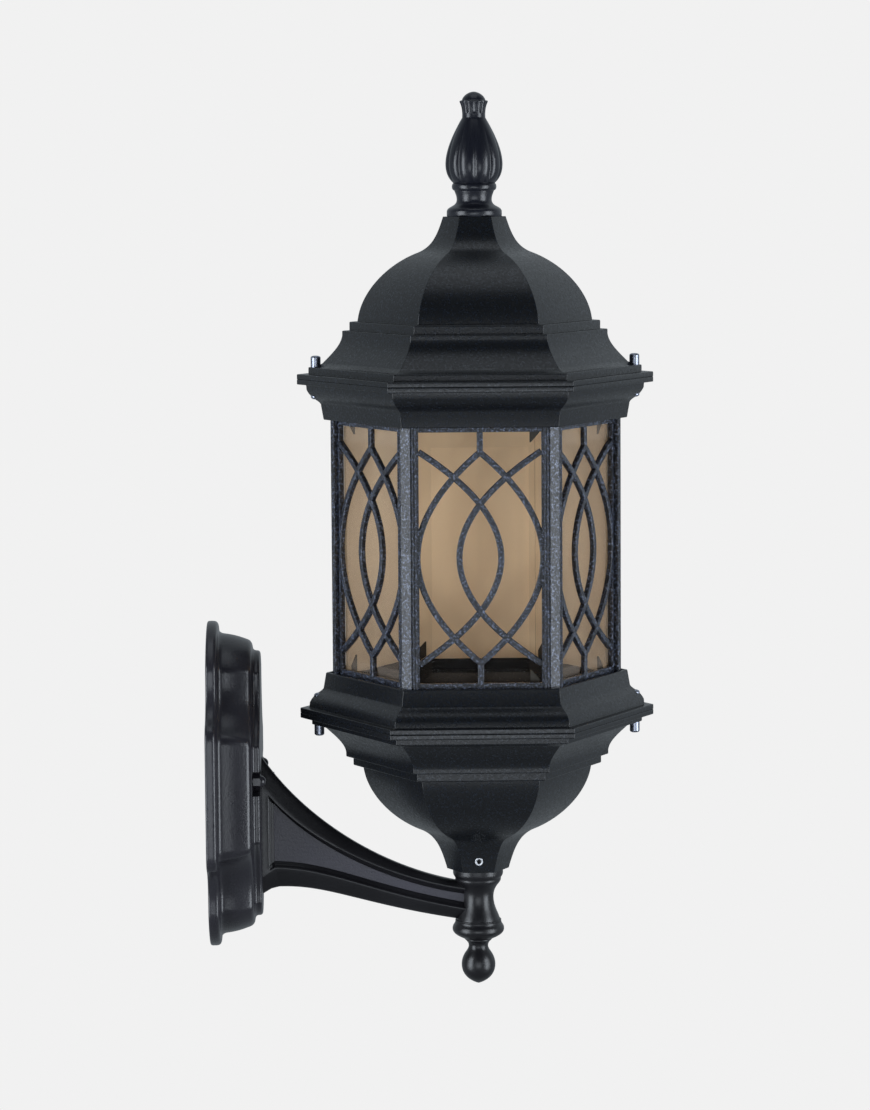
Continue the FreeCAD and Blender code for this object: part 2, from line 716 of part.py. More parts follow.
def mounting_strap():
    bar = Part.makeBox(strap_thick, 2 * strap_half_l, 2 * strap_half_w, V(0, -strap_half_l, -strap_half_w))
    corners = [e for e in bar.Edges if abs(e.tangentAt(0).x) > 0.9]
    bar = bar.makeFillet(4.0, corners)
    reach = box_slot_l / 2
    for y in (-strap_spacing / 2, strap_spacing / 2):
        for end in (-reach + box_slot_r, reach - box_slot_r):
            bar = bar.cut(rod_x(box_slot_r, -1, 9, y + end, 0))
        bar = bar.cut(Part.makeBox(10, box_slot_l - 2 * box_slot_r, 2 * box_slot_r,
                                   V(-1, y - reach + box_slot_r, -box_slot_r)))
    for y in (-stud_spacing / 2, stud_spacing / 2):
        bar = bar.cut(rod_x(stud_r, -1, 9, y, 0))
    bar = bar.cut(rod_x(strap_wire_r, -1, 9, 0, 0))
    return bar.cut(rod_x(screw_r, -1, 9, *ground_at))


def strap_studs():
    return Part.makeCompound([rod_x(stud_r, 0, plate_body_x + 5, y, 0)
                              for y in (-stud_spacing / 2, stud_spacing / 2)])


def backplate_cap_nuts():
    nut = hex_nut(8.0, 5.0, 0, stud_r, 0, 0)
    dome = Part.makeSphere(3.6, V(0, 0, 4.4)).common(rod(5, 4.4, 12, 0))
    nut = nut.fuse(dome).cut(rod(stud_r, -1, 5.4, 0))
    nut.rotate(V(0, 0, 0), V(0, 1, 0), 90)
    return Part.makeCompound([moved(nut, plate_body_x, y, 0) for y in (-stud_spacing / 2, stud_spacing / 2)])


def ground_screw():
    y, z = ground_at
    head = rod_x(3.8, strap_thick, strap_thick + 2.2, y, z)
    screw = head.fuse(rod_x(screw_r, 0, strap_thick, y, z))
    return screw.cut(Part.makeBox(1.0, 8, 1.0, V(strap_thick + 1.4, y - 4, z - 0.5)))


# Lamp holder

def lamp_stem():
    low = collar_z - stem_depth
    return rod(stem_r, low, holder_z + 4).cut(rod(stem_bore, low - 1, holder_z + 5))


def stem_nuts():
    nut_h = 3.6
    nuts = [hex_nut(16, nut_h, hub_top_z, stem_r), hex_nut(16, nut_h, holder_z - nut_h, stem_r)]
    return Part.makeCompound(nuts)


floor_z = holder_z + 0.3 * holder_h
well_z = holder_z + 0.2 * holder_h


def lamp_holder():
    """Porcelain body, open at the top, with a waist and a rounded foot."""
    bead = shell_thick + 0.4
    waist_z = holder_z + 0.56 * holder_h
    inner_r = lamp_bore + shell_thick
    foot = (0.7 * holder_r, holder_z)
    section = chain(
        ((stem_r, holder_z), foot),
        bow(foot, (holder_r, holder_z + 0.13 * holder_h), (0.73, 0), (1.0, 0.33)),
        ((holder_r, waist_z), (holder_r + bead, waist_z + bead)),
        ((holder_r + bead, holder_top - bead), (holder_r, holder_top)),
        ((inner_r, holder_top), (inner_r, floor_z)),
        ((contact_well_r, floor_z), (contact_well_r, well_z)),
        ((stem_r, well_z),))
    return spun(section)


def lamp_screw_shell():
    lip = shell_thick / 2
    top = holder_top - 2 * shell_thick
    outer_r = lamp_bore + shell_thick
    section = chain(((lamp_bore, floor_z + lip), (lamp_bore, top), (outer_r, top), (outer_r, floor_z),
                     (contact_well_r, floor_z), (contact_well_r, floor_z + lip)))
    return spun(section)


def lamp_contact():
    """Bent centre contact tab in the well of the holder's floor."""
    z = well_z
    tab = Part.makeBox(1.2, 5, 0.6, V(head_x + 5.4, -2.5, z))
    rise = [V(head_x + 6.6, -2.5, z), V(head_x + 6.6, -2.5, z + 0.6), V(head_x - 2, -2.5, z + 4.6),
            V(head_x - 2, -2.5, z + 4.0)]
    slope = Part.Face(Part.makePolygon(rise + [rise[0]])).extrude(V(0, 5, 0))
    return tab.fuse(slope).removeSplitter()


def export(name, shape):
    shape.exportStep("parts/%s.step" % name)


os.makedirs("parts", exist_ok=True)
export("mounting_strap", mounting_strap())
export("strap_studs", strap_studs())
export("ground_screw", ground_screw())
export("backplate", backplate())
export("backplate_cap_nuts", backplate_cap_nuts())
export("arm", arm())
export("arm_screws", arm_screws())
export("drop_finial", drop_finial())
export("bowl", bowl())
export("neck_set_screws", neck_set_screws())
upper_ring = ring()
export("upper_ring", upper_ring)
export("lower_ring", flipped(upper_ring))
first_post = post()
first_lattice = lattice()
first_pane = pane()
for k in range(6):
    export("post_%d" % (k + 1), turned(first_post, 60 * k))
    export("lattice_%d" % (k + 1), turned(first_lattice, 60 * k))
    export("pane_%d" % (k + 1), turned(first_pane, 60 * k))
export("post_screws", post_screws())
export("pane_clips", pane_clips())
export("roof", roof())
export("roof_screws", cap_screws())
export("roof_cap_nuts", cap_nuts())
export("bowl_screws", flipped(cap_screws()))
export("bowl_cap_nuts", flipped(cap_nuts()))
export("finial", finial())
export("finial_stud", finial_stud())
export("finial_nut", finial_nut())
export("lamp_holder", lamp_holder())
export("lamp_screw_shell", lamp_screw_shell())
export("lamp_contact", lamp_contact())
export("lamp_stem", lamp_stem())
export("stem_nuts", stem_nuts())
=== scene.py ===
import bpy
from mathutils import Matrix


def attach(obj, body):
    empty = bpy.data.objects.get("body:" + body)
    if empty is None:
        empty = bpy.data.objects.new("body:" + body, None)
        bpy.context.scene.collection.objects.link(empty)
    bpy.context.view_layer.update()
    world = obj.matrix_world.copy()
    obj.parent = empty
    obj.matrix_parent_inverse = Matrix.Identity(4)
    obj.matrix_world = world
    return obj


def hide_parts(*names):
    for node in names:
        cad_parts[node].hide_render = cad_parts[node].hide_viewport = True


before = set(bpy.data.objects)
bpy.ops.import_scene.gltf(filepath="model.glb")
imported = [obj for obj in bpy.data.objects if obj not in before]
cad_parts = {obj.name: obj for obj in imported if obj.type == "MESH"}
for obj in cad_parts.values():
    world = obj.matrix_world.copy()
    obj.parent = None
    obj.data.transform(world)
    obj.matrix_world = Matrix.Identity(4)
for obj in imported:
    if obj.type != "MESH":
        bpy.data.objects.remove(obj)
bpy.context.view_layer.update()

import bmesh
import bpy
import mathutils
import numpy as np

# Wall plate
# A hollow aluminium casting in three steps with concave corners and arched ears. It is powder
# coated in a smooth satin black and held by two cap nuts on the studs of the strap behind it.
MM = 0.001
PLATE_DROP = 7.0
PLATE_HALF_W = 66.0
PLATE_SIDE_H = 45.5
PLATE_BITE = 24.0
PLATE_TOP_H = 104.0
PLATE_EAR_RISE = 25.0
PLATE_CORNER_R = 12.0
PLATE_DEEP = 33.5
PLATE_RIM = 11.5
WELL_INSET = 14.5
WELL_DEEP = 25.0
NUT_Y = 34.9
NUT_NOTCH = 7.5
PLATE_STEPS = ((PLATE_RIM, 0.0), (0.0, 0.0), (0.0, 7.0), (7.5, 7.0), (9.0, 17.5), (12.8, 28.0), (19.0, 29.0),
               (19.0, PLATE_DEEP), (26.0, PLATE_DEEP))
PLATE_ROUND = (0.3, 1.6, 3.3, 3.4, 5.2, 2.9, 2.6, 2.2, 2.0)
PLATE_ROUND_STEPS = 6
PAD_CORNERS = 3
SAME_SPOT = 2e-6
NO_LENGTH = 1e-6


def shaped(name, parts, sharp_deg=38.0):
    """One mesh from several (points, quads) parts in mm: doubles merged, faces outward, creases sharp."""
    mesh = bpy.data.meshes.new(name)
    starts = np.cumsum([0] + [len(points) for points, _ in parts[:-1]])
    points = np.concatenate([p for p, _ in parts]) * MM
    quads = np.concatenate([q + s for (_, q), s in zip(parts, starts)])
    mesh.vertices.add(len(points))
    mesh.vertices.foreach_set("co", points.ravel())
    mesh.loops.add(quads.size)
    mesh.loops.foreach_set("vertex_index", quads.ravel())
    mesh.polygons.add(len(quads))
    mesh.polygons.foreach_set("loop_start", np.arange(0, quads.size, 4))
    mesh.update(calc_edges=True)
    work = bmesh.new()
    work.from_mesh(mesh)
    bmesh.ops.remove_doubles(work, verts=work.verts, dist=SAME_SPOT)
    bmesh.ops.dissolve_degenerate(work, edges=work.edges, dist=NO_LENGTH)
    bmesh.ops.recalc_face_normals(work, faces=work.faces)
    work.to_mesh(mesh)
    work.free()
    mesh.polygons.foreach_set("use_smooth", np.ones(len(mesh.polygons), bool))
    mesh.set_sharp_from_angle(angle=np.radians(sharp_deg))
    piece = bpy.data.objects.new(name, mesh)
    bpy.context.scene.collection.objects.link(piece)
    return piece


def grid_quads(grid, loop_u=False, loop_v=False):
    """The grid's points in a row, and quads between neighbours; a looped side closes on itself."""
    nu, nv = grid.shape[:2]
    index = np.arange(nu * nv).reshape(nu, nv)
    if loop_u:
        index = np.vstack([index, index[:1]])
    if loop_v:
        index = np.hstack([index, index[:, :1]])
    quads = np.stack([index[:-1, :-1], index[1:, :-1], index[1:, 1:], index[:-1, 1:]], -1)
    return grid.reshape(-1, 3), quads.reshape(-1, 4)


def rounded(points, cut, steps=5, closed=True):
    """Each corner becomes a parabola: (1-t)^2 back along one side plus t^2 along the next, times cut.

    The cut takes at most 0.48 of the shorter side, and an open line keeps its two ends.
    """
    points = np.asarray(points, float)
    before = np.roll(points, 1, axis=0) - points
    after = np.roll(points, -1, axis=0) - points
    reach_a = np.linalg.norm(before, axis=1, keepdims=True)
    reach_b = np.linalg.norm(after, axis=1, keepdims=True)
    reach = np.minimum(reach_a, reach_b)
    cut = np.minimum(np.broadcast_to(np.asarray(cut, float).reshape(-1, 1), reach.shape), 0.48 * reach)
    if not closed:
        cut[[0, -1]] = 0
    t = np.linspace(0, 1, steps).reshape(1, -1, 1)
    a = (before / np.maximum(reach_a, 1e-9) * cut)[:, None, :]
    b = (after / np.maximum(reach_b, 1e-9) * cut)[:, None, :]
    return (points[:, None, :] + (1 - t) ** 2 * a + t ** 2 * b).reshape(-1, 2)


def plate_edge(inset):
    """Closed outline (y, z), moved inward by inset.

    A quarter runs up the side, round a shoulder arc, the bite's arc and the ear's shoulder, then along
    the arch to the top; the other three quarters mirror it.
    """
    d = np.asarray(inset, float).reshape(-1, 1)
    bite = PLATE_BITE + d
    bite_z = PLATE_SIDE_H + PLATE_BITE
    ear0 = PLATE_HALF_W - PLATE_BITE
    arch_r = (ear0 ** 2 + PLATE_EAR_RISE ** 2) / (2 * PLATE_EAR_RISE)
    arch_z = PLATE_TOP_H - arch_r
    arch, ear = arch_r - d, ear0 - d
    r = np.maximum(PLATE_CORNER_R - d / 2, 3.0)
    side_z = bite_z - np.sqrt((bite + r) ** 2 - (d + r) ** 2)
    ear_z = arch_z + np.sqrt((arch - r) ** 2 - (ear - r) ** 2)
    shoulder = np.arctan2(bite_z - side_z, d + r)
    crown = np.arctan2(ear_z - arch_z, ear - r)
    t = np.linspace(0, 1, 14).reshape(1, -1)
    rise = np.linspace(0, 0.98, 40).reshape(1, -1)

    def arc(y, z, radius, start, end):
        turn = start + (end - start) * t
        return y + radius * np.cos(turn), z + radius * np.sin(turn)

    runs = [(PLATE_HALF_W - d + 0 * rise, side_z * rise),
            arc(PLATE_HALF_W - d - r, side_z, r, 0, shoulder),
            arc(PLATE_HALF_W, bite_z, bite, shoulder - np.pi, -np.pi),
            arc(ear - r, ear_z, r, 0, crown),
            arc(0, arch_z, arch, crown, np.pi / 2)]
    y, z = [np.hstack(part) for part in zip(*runs)]
    y = np.hstack([y, -y[:, ::-1], -y, y[:, ::-1]])
    z = np.hstack([z, z[:, ::-1], -z, -z[:, ::-1]])
    return y, z - PLATE_DROP


def plate_skin():
    """The step profile (inset, depth) carried round the edge family, then drawn in to the middle.

    Beside each nut the pad stops short, at a round notch that opens to the side:
    |y| <= NUT_Y - sqrt(NUT_NOTCH^2 - z^2).
    """
    front = rounded(PLATE_STEPS, PLATE_ROUND, PLATE_ROUND_STEPS, closed=False)
    back = np.array([(WELL_INSET, WELL_DEEP), (PLATE_RIM, 0.0)])
    loop = np.vstack([back, front])
    y, z = plate_edge(loop[:, 0])
    x = np.broadcast_to(loop[:, 1:], y.shape)
    grid = np.stack([x, y, z], -1)
    shrink = np.linspace(1, 0, 5)[1:].reshape(-1, 1, 1)
    middle = np.array([0.0, 0.0, -PLATE_DROP])
    face = middle * (1 - shrink) + grid[-1] * shrink
    face[..., 0] = PLATE_DEEP
    well = middle * (1 - shrink) + grid[0] * shrink
    well[..., 0] = WELL_DEEP
    pad_rows = PAD_CORNERS * PLATE_ROUND_STEPS
    pad = np.concatenate([grid[-pad_rows:], face])
    room = np.sqrt(np.clip(NUT_NOTCH ** 2 - pad[..., 2] ** 2, 0, None))
    edge = np.where(room > 0, NUT_Y - room, PLATE_HALF_W)
    pad[..., 1] = np.sign(pad[..., 1]) * np.minimum(np.abs(pad[..., 1]), edge)
    return grid_quads(np.concatenate([well[::-1], grid[:-pad_rows], pad]), loop_v=True)


def satin_coat(name, tint, rough, grain):
    """Smooth coat: one colour with faint cloudy change, orange-peel bump and satin gloss."""
    material = bpy.data.materials.new(name)
    material.use_nodes = True
    nodes, links = material.node_tree.nodes, material.node_tree.links
    coat = nodes["Principled BSDF"]
    where = nodes.new("ShaderNodeTexCoord")
    cloud = nodes.new("ShaderNodeTexNoise")
    cloud.inputs["Scale"].default_value = 28.0
    cloud.inputs["Detail"].default_value = 5.0
    links.new(where.outputs["Object"], cloud.inputs["Vector"])
    shade = nodes.new("ShaderNodeValToRGB")
    shade.color_ramp.elements[0].position = 0.3
    shade.color_ramp.elements[0].color = (*[0.82 * c for c in tint], 1)
    shade.color_ramp.elements[1].position = 0.72
    shade.color_ramp.elements[1].color = (*[1.2 * c for c in tint], 1)
    links.new(cloud.outputs["Fac"], shade.inputs["Fac"])
    links.new(shade.outputs["Color"], coat.inputs["Base Color"])
    gloss = nodes.new("ShaderNodeMapRange")
    gloss.inputs["To Min"].default_value = rough - 0.06
    gloss.inputs["To Max"].default_value = rough + 0.08
    links.new(cloud.outputs["Fac"], gloss.inputs["Value"])
    links.new(gloss.outputs["Result"], coat.inputs["Roughness"])
    peel = nodes.new("ShaderNodeTexNoise")
    peel.inputs["Scale"].default_value = 620.0
    peel.inputs["Detail"].default_value = 3.0
    links.new(where.outputs["Object"], peel.inputs["Vector"])
    bump = nodes.new("ShaderNodeBump")
    bump.inputs["Strength"].default_value = grain
    bump.inputs["Distance"].default_value = 0.0006
    links.new(peel.outputs["Fac"], bump.inputs["Height"])
    links.new(bump.outputs["Normal"], coat.inputs["Normal"])
    return material


def place(piece, material, slot, *nodes):
    """Gives a piece its finish and hangs it on the lantern in the place of its solids."""
    piece.data.materials.append(material)
    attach(piece, "root")
    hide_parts(*nodes)


bracket_black = satin_coat("bracket_black", (0.019, 0.0183, 0.023), 0.28, 0.2)
place(shaped("wall_plate", [plate_skin()]), bracket_black, "satin_black_casting", "backplate")


def dress(material, *nodes):
    """A solid whose shape is right keeps it, and takes this finish."""
    for node in nodes:
        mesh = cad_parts[node].data
        mesh.materials.clear()
        mesh.materials.append(material)


dress(bracket_black, "backplate_cap_nuts")

# Strap, studs and ground screw
# Zinc-plated steel behind the plate: a slotted bar for the outlet box, two studs that come out
# through the plate for the cap nuts, and a green screw for the earth lead.


def plain_metal(name, tint, rough):
    """Plated or bare metal: bright colour, fine grain in roughness and a slight bump."""
    material = bpy.data.materials.new(name)
    material.use_nodes = True
    nodes, links = material.node_tree.nodes, material.node_tree.links
    metal = nodes["Principled BSDF"]
    metal.inputs["Base Color"].default_value = (*tint, 1)
    metal.inputs["Metallic"].default_value = 1.0
    where = nodes.new("ShaderNodeTexCoord")
    grain = nodes.new("ShaderNodeTexNoise")
    grain.inputs["Scale"].default_value = 420.0
    grain.inputs["Detail"].default_value = 4.0
    links.new(where.outputs["Object"], grain.inputs["Vector"])
    spread = nodes.new("ShaderNodeMapRange")
    spread.inputs["To Min"].default_value = rough - 0.1
    spread.inputs["To Max"].default_value = rough + 0.12
    links.new(grain.outputs["Fac"], spread.inputs["Value"])
    links.new(spread.outputs["Result"], metal.inputs["Roughness"])
    bump = nodes.new("ShaderNodeBump")
    bump.inputs["Strength"].default_value = 0.08
    bump.inputs["Distance"].default_value = 0.0003
    links.new(grain.outputs["Fac"], bump.inputs["Height"])
    links.new(bump.outputs["Normal"], metal.inputs["Normal"])
    return material


zinc = plain_metal("zinc_plate", (0.36, 0.37, 0.39), 0.46)
dress(zinc, "mounting_strap", "strap_studs", "arm_screws", "post_screws", "finial_stud", "finial_nut",
      "stem_nuts", "lamp_stem")
dress(satin_coat("green_screw", (0.02, 0.16, 0.05), 0.4, 0.1), "ground_screw")

# Arm and spindle
# One casting: a rolled top rail and bottom rail with a sunk web between them, ending in a turned
# spindle with a collar for the lantern. Two screws hold its foot to the plate from behind.
ARM_FOOT = PLATE_DEEP
HEAD_X = 171.0
HEAD_MID = 144.0
FLANGE_H = 109.3
CAP_HEIGHT = 98.2
COLLAR_Z = HEAD_MID - FLANGE_H - CAP_HEIGHT
SPIGOT_R = 8.0
SPIGOT_H = 21.5
SPINDLE_L = 45.6
SPINDLE_CLEAR = 8.0
RAIL_EDGE = 1.2
RAIL_HALF = 7.5
RAIL_SWELL = 0.6
RAIL_GAP = 0.3
WEB_HALF = 3.4
FLAT_SLACK = 0.01
ARM_TOP = ((33.5, 10.0), (61.1, -32.1), (113.7, -65.1), (165.0, -72.5))
ARM_LOW = ((44.0, -74.0), (76.7, -73.1), (97.2, -87.0), (165.0, -97.2))
WEB_TOP = ((41.0, -20.0), (63.8, -46.0), (111.6, -72.6), (163.0, -79.8))
WEB_LOW = ((41.0, -57.0), (78.5, -58.0), (99.3, -73.0), (163.0, -85.2))
FOOT_Z = (10.0, -13.0, -62.5, -78.5)
FOOT_FLARE = 4.5
FOOT_LEAD = (0.0, 0.5, 0.58, 0.6, 0.78, 0.8, 0.98)
FOOT_SUNK = (0.0, 0.0, 0.1, 0.22, 0.25, 0.5, 0.52)
MOULDING = ((4.0, 7.5), (3.5, 7.48), (3.1, 7.2), (2.75, 6.6), (2.4, 5.8), (2.0, 5.3), (1.4, 4.9), (0.7, 4.4),
            (0.2, 4.0), (0.0, WEB_HALF))


def bezier(poles, t):
    """Cubic curve through the first and last pole, pulled towards the two between."""
    a, b, c, d = [np.asarray(p, float) for p in poles]
    t = np.asarray(t, float).reshape(-1, 1)
    return (1 - t) ** 3 * a + 3 * (1 - t) ** 2 * t * b + 3 * (1 - t) * t ** 2 * c + t ** 3 * d


def arm_skin():
    """Rows along the arm, each from the top edge over rail and moulding to the web, and down the same way.

    From its edge inwards a rail's half depth grows as the share of its width to the power RAIL_SWELL.
    At the foot the web rises to the rails' depth, and the far side mirrors the near one.
    """
    t = np.linspace(0, 1, 80)
    curves = [bezier(poles, t) for poles in (ARM_TOP, WEB_TOP, WEB_LOW, ARM_LOW)]
    lead = np.array(FOOT_LEAD).reshape(-1, 1)
    rows = []
    for curve, z in zip(curves, FOOT_Z):
        foot = np.array([ARM_FOOT, z])
        rows.append(np.vstack([foot + (curve[0] - foot) * lead, curve]))
    rows[3][:len(lead), 1] = FOOT_Z[3] + FOOT_FLARE * np.sqrt(lead[:, 0])
    sunk = np.concatenate([FOOT_SUNK, np.ones(len(t))]).reshape(-1, 1)
    share = np.linspace(0, 1, 11) ** 2
    rail_y = RAIL_EDGE + (RAIL_HALF - RAIL_EDGE) * share ** RAIL_SWELL
    mould = np.array(MOULDING)
    sides = []
    for edge, web in ((rows[0], rows[1]), (rows[3], rows[2])):
        span = np.linalg.norm(web - edge, axis=1, keepdims=True)
        rail_s = (span - mould[0, 0] - RAIL_GAP) * share
        k = np.hstack([rail_s / span, 1 - mould[:, 0] / span])
        y = np.hstack([rail_y, mould[:, 1]]) + 0 * k
        y[:, len(share):] += (RAIL_HALF - y[:, len(share):]) * (1 - sunk)
        flat = edge[:, None] + (web - edge)[:, None] * k[..., None]
        sides.append((flat, y))
    outline = np.concatenate([sides[0][0], sides[1][0][:, ::-1]], 1)
    depth = np.concatenate([sides[0][1], sides[1][1][:, ::-1]], 1)
    near = np.stack([outline[..., 0], -depth, outline[..., 1]], -1)
    far = np.stack([outline[..., 0], depth, outline[..., 1]], -1)
    ring = np.concatenate([near, far[:, ::-1]], 1)
    shut = ring.mean(1, keepdims=True) + 0 * ring
    return grid_quads(np.concatenate([shut[:1], ring, shut[-1:]]), loop_v=True)


def turned(profile, x=HEAD_X, around=96, lobes=None):
    """A profile (radius, height) spun about an upright axis at x; lobes may change the radius on the way."""
    profile = np.asarray(profile, float)
    angle = np.linspace(0, 2 * np.pi, around, endpoint=False)
    radius = np.broadcast_to(profile[:, :1], (len(profile), around))
    if lobes is not None:
        radius = radius - lobes(profile, angle)
    grid = np.stack([x + radius * np.cos(angle), radius * np.sin(angle),
                     np.broadcast_to(profile[:, 1:], radius.shape)], -1)
    return grid_quads(grid, loop_v=True)


def run(*parts):
    """Joins straight corners and cubic runs, which have four poles, into one line of points."""
    t = np.linspace(0, 1, 18)
    return np.vstack([bezier(part, t) if len(part) == 4 else np.asarray(part, float) for part in parts])


def spindle_profile():
    """Half section (radius, height) from the spigot's top over collar, waist, fillet and bead to the seat."""
    z = COLLAR_Z
    return run(((0.0, z + SPIGOT_H), (5.0, z + SPIGOT_H), (SPIGOT_R, z + SPIGOT_H)),
               ((SPIGOT_R, z), (15.6, z)), ((16.0, z - 0.4), (16.0, z - 2.6)),
               ((16.0, z - 2.6), (15.9, z - 5.0), (14.6, z - 5.0), (14.6, z - 6.6)),
               ((14.6, z - 6.6), (14.9, z - 9.4), (9.8, z - 11.0), (9.8, z - 18.6)),
               ((9.8, z - 18.6), (9.8, z - 25.0), (13.0, z - 29.0), (13.9, z - 33.0)),
               ((14.4, z - 33.0), (14.7, z - 33.3)), ((14.7, z - 33.9), (14.5, z - 34.2)),
               ((14.7, z - 34.2), (14.9, z - 36.5), (16.6, z - 36.5), (16.5, z - 39.4)),
               ((16.5, z - 39.4), (16.3, z - 42.6), (12.0, z - 44.0), (9.0, z - SPINDLE_L)),
               ((0.0, z - SPINDLE_L),))


def face_values(piece, what):
    """Three numbers for each face of a piece: its center, in metres, or its outward normal."""
    values = np.empty(3 * len(piece.data.polygons))
    piece.data.polygons.foreach_get(what, values)
    return values.reshape(-1, 3)


arm_black = satin_coat("arm_black", (0.006, 0.0057, 0.0072), 0.34, 0.14)
arm_piece = shaped("bracket_arm", [arm_skin(), turned(spindle_profile())])
place(arm_piece, arm_black, "satin_black_casting", "arm")
arm_piece.data.materials.append(satin_coat("web_black", (0.030, 0.028, 0.039), 0.42, 0.4))
spot = face_values(arm_piece, "center") / MM
on_web = (np.abs(np.abs(spot[:, 1]) - WEB_HALF) < FLAT_SLACK) & (spot[:, 0] < HEAD_X - SPINDLE_CLEAR)
arm_piece.data.polygons.foreach_set("material_index", on_web.astype(np.int32))

# Drop finial
# A turned aluminium ball on a short neck, in the arm's satin black. A plain stud on its top is
# screwed up into the foot of the spindle.


def drop_profile():
    """Half section (radius, height) from the stud's top over the collar and neck, then round the ball."""
    z = COLLAR_Z - SPINDLE_L
    return run(((0.0, z + 9.0), (2.5, z + 9.0)), ((2.5, z), (8.4, z)), ((8.6, z - 0.2), (8.6, z - 0.6)),
               ((8.6, z - 0.6), (6.6, z - 2.4), (6.2, z - 3.4), (6.2, z - 5.0)),
               ((6.2, z - 5.0), (6.4, z - 8.0), (10.6, z - 10.0), (10.8, z - 16.8)),
               ((10.8, z - 16.8), (10.8, z - 24.0), (5.5, z - 27.6), (0.0, z - 29.4)))


place(shaped("drop_ball", [turned(drop_profile())]), arm_black, "satin_black_casting", "drop_finial")

# Bowl
# The roof's bell casting turned over, hollow, with a solid neck that sits on the spindle's collar.
# Its coat is a textured black: a fine pebbled grain that sparkles where light grazes it, with faint paler
# specks also painted into its colour as glints that show under any light.
FLANGE_R = 112.5
CAP_FLANGE = 3.2
RIM_R = 90.5
PLINTH_R = 105.2
PLINTH_H = 4.4
SKIRT_R = 96.4
SKIRT_FOOT = 6.6
STEP_R = 83.7
STEP_H = 2.7
LEDGE_R = 79.1
STEPS_H = 8.3
NECK_R = 35.0
NECK_HOLLOW_R = 16.4
BELL_WALL = 3.4
HEX = np.pi / 3 * np.arange(6)


def hex_carried(profile, soft=0.4):
    """A closed profile of (corner radius, height) carried round six corners, each cut soft by a parabola."""
    profile = np.asarray(profile, float)
    corner = np.stack([np.cos(HEX), np.sin(HEX)], -1)
    back = np.roll(corner, 1, 0) - corner
    ahead = np.roll(corner, -1, 0) - corner
    t = np.linspace(0, 1, 6).reshape(1, -1, 1)
    bend = (1 - t) ** 2 * back[:, None] + t ** 2 * ahead[:, None]
    cut = np.minimum(soft, 0.25 * profile[:, 0]).reshape(-1, 1, 1, 1)
    flat = profile[:, 0].reshape(-1, 1, 1, 1) * corner[None, :, None] + cut * bend[None]
    flat = flat.reshape(len(profile), -1, 2)
    grid = np.stack([HEAD_X + flat[..., 0], flat[..., 1],
                     np.broadcast_to(profile[:, 1:], flat.shape[:2])], -1)
    return grid_quads(grid, loop_u=True, loop_v=True)


def bell_profile(skirt_h, ledge, neck_h, bore, bore_floor):
    """Half section of the bell, out from its flange.

    Outside come plinth, skirt, two steps, dome and neck; then the bore and the hollow lead back inside.
    """
    step = SKIRT_FOOT + skirt_h
    high = step + STEPS_H
    dome = LEDGE_R - ledge
    end = CAP_HEIGHT - neck_h
    rise = end - high
    fall = NECK_R - dome

    def straight(*points):
        return np.asarray(points, float)

    def curve(*poles):
        return bezier(poles, np.linspace(0, 1, 26))

    return np.vstack([
        rounded(straight((RIM_R, -CAP_FLANGE), (FLANGE_R, -CAP_FLANGE), (FLANGE_R, 0), (PLINTH_R, 0),
                         (PLINTH_R, PLINTH_H), (101.8, PLINTH_H), (SKIRT_R, SKIRT_FOOT)),
                (0.2, 0.5, 0.7, 0.5, 0.8, 1.2, 0.3), 5, False),
        curve((SKIRT_R, SKIRT_FOOT), (90.0, SKIRT_FOOT + 0.36 * skirt_h),
              (84.3, SKIRT_FOOT + 0.66 * skirt_h), (STEP_R, step)),
        rounded(straight((STEP_R, step), (STEP_R, step + STEP_H), (LEDGE_R, step + STEP_H), (LEDGE_R, high),
                         (dome, high), (dome - 0.1, high + 1.2)),
                (0.2, 0.7, 0.6, 0.9, 0.6, 0.1), 5, False),
        curve((dome, high), (dome + 0.04 * fall, high + 0.4 * rise),
              (dome + 0.45 * fall, high + 0.82 * rise), (NECK_R, end))[2:],
        curve((NECK_R, end), (26.5, end + 0.17 * neck_h), (23.5, end + 0.47 * neck_h), (19.8, CAP_HEIGHT)),
        straight((19.4, CAP_HEIGHT), (bore, CAP_HEIGHT), (bore, bore_floor), (NECK_HOLLOW_R, bore_floor),
                 (NECK_HOLLOW_R, CAP_HEIGHT - neck_h / 2), (33.3, end - BELL_WALL)),
        curve((33.3, end - BELL_WALL), (54.0, end - 11.3), (dome - 5.0, high + 15.2),
              (dome - BELL_WALL, high - 1.7)),
        straight((dome - BELL_WALL, step + 1.0), (80.3, step - 1.7)),
        curve((80.3, step - 1.7), (80.9, 0.7 * step), (86.6, 9.0), (RIM_R, 2.0))])


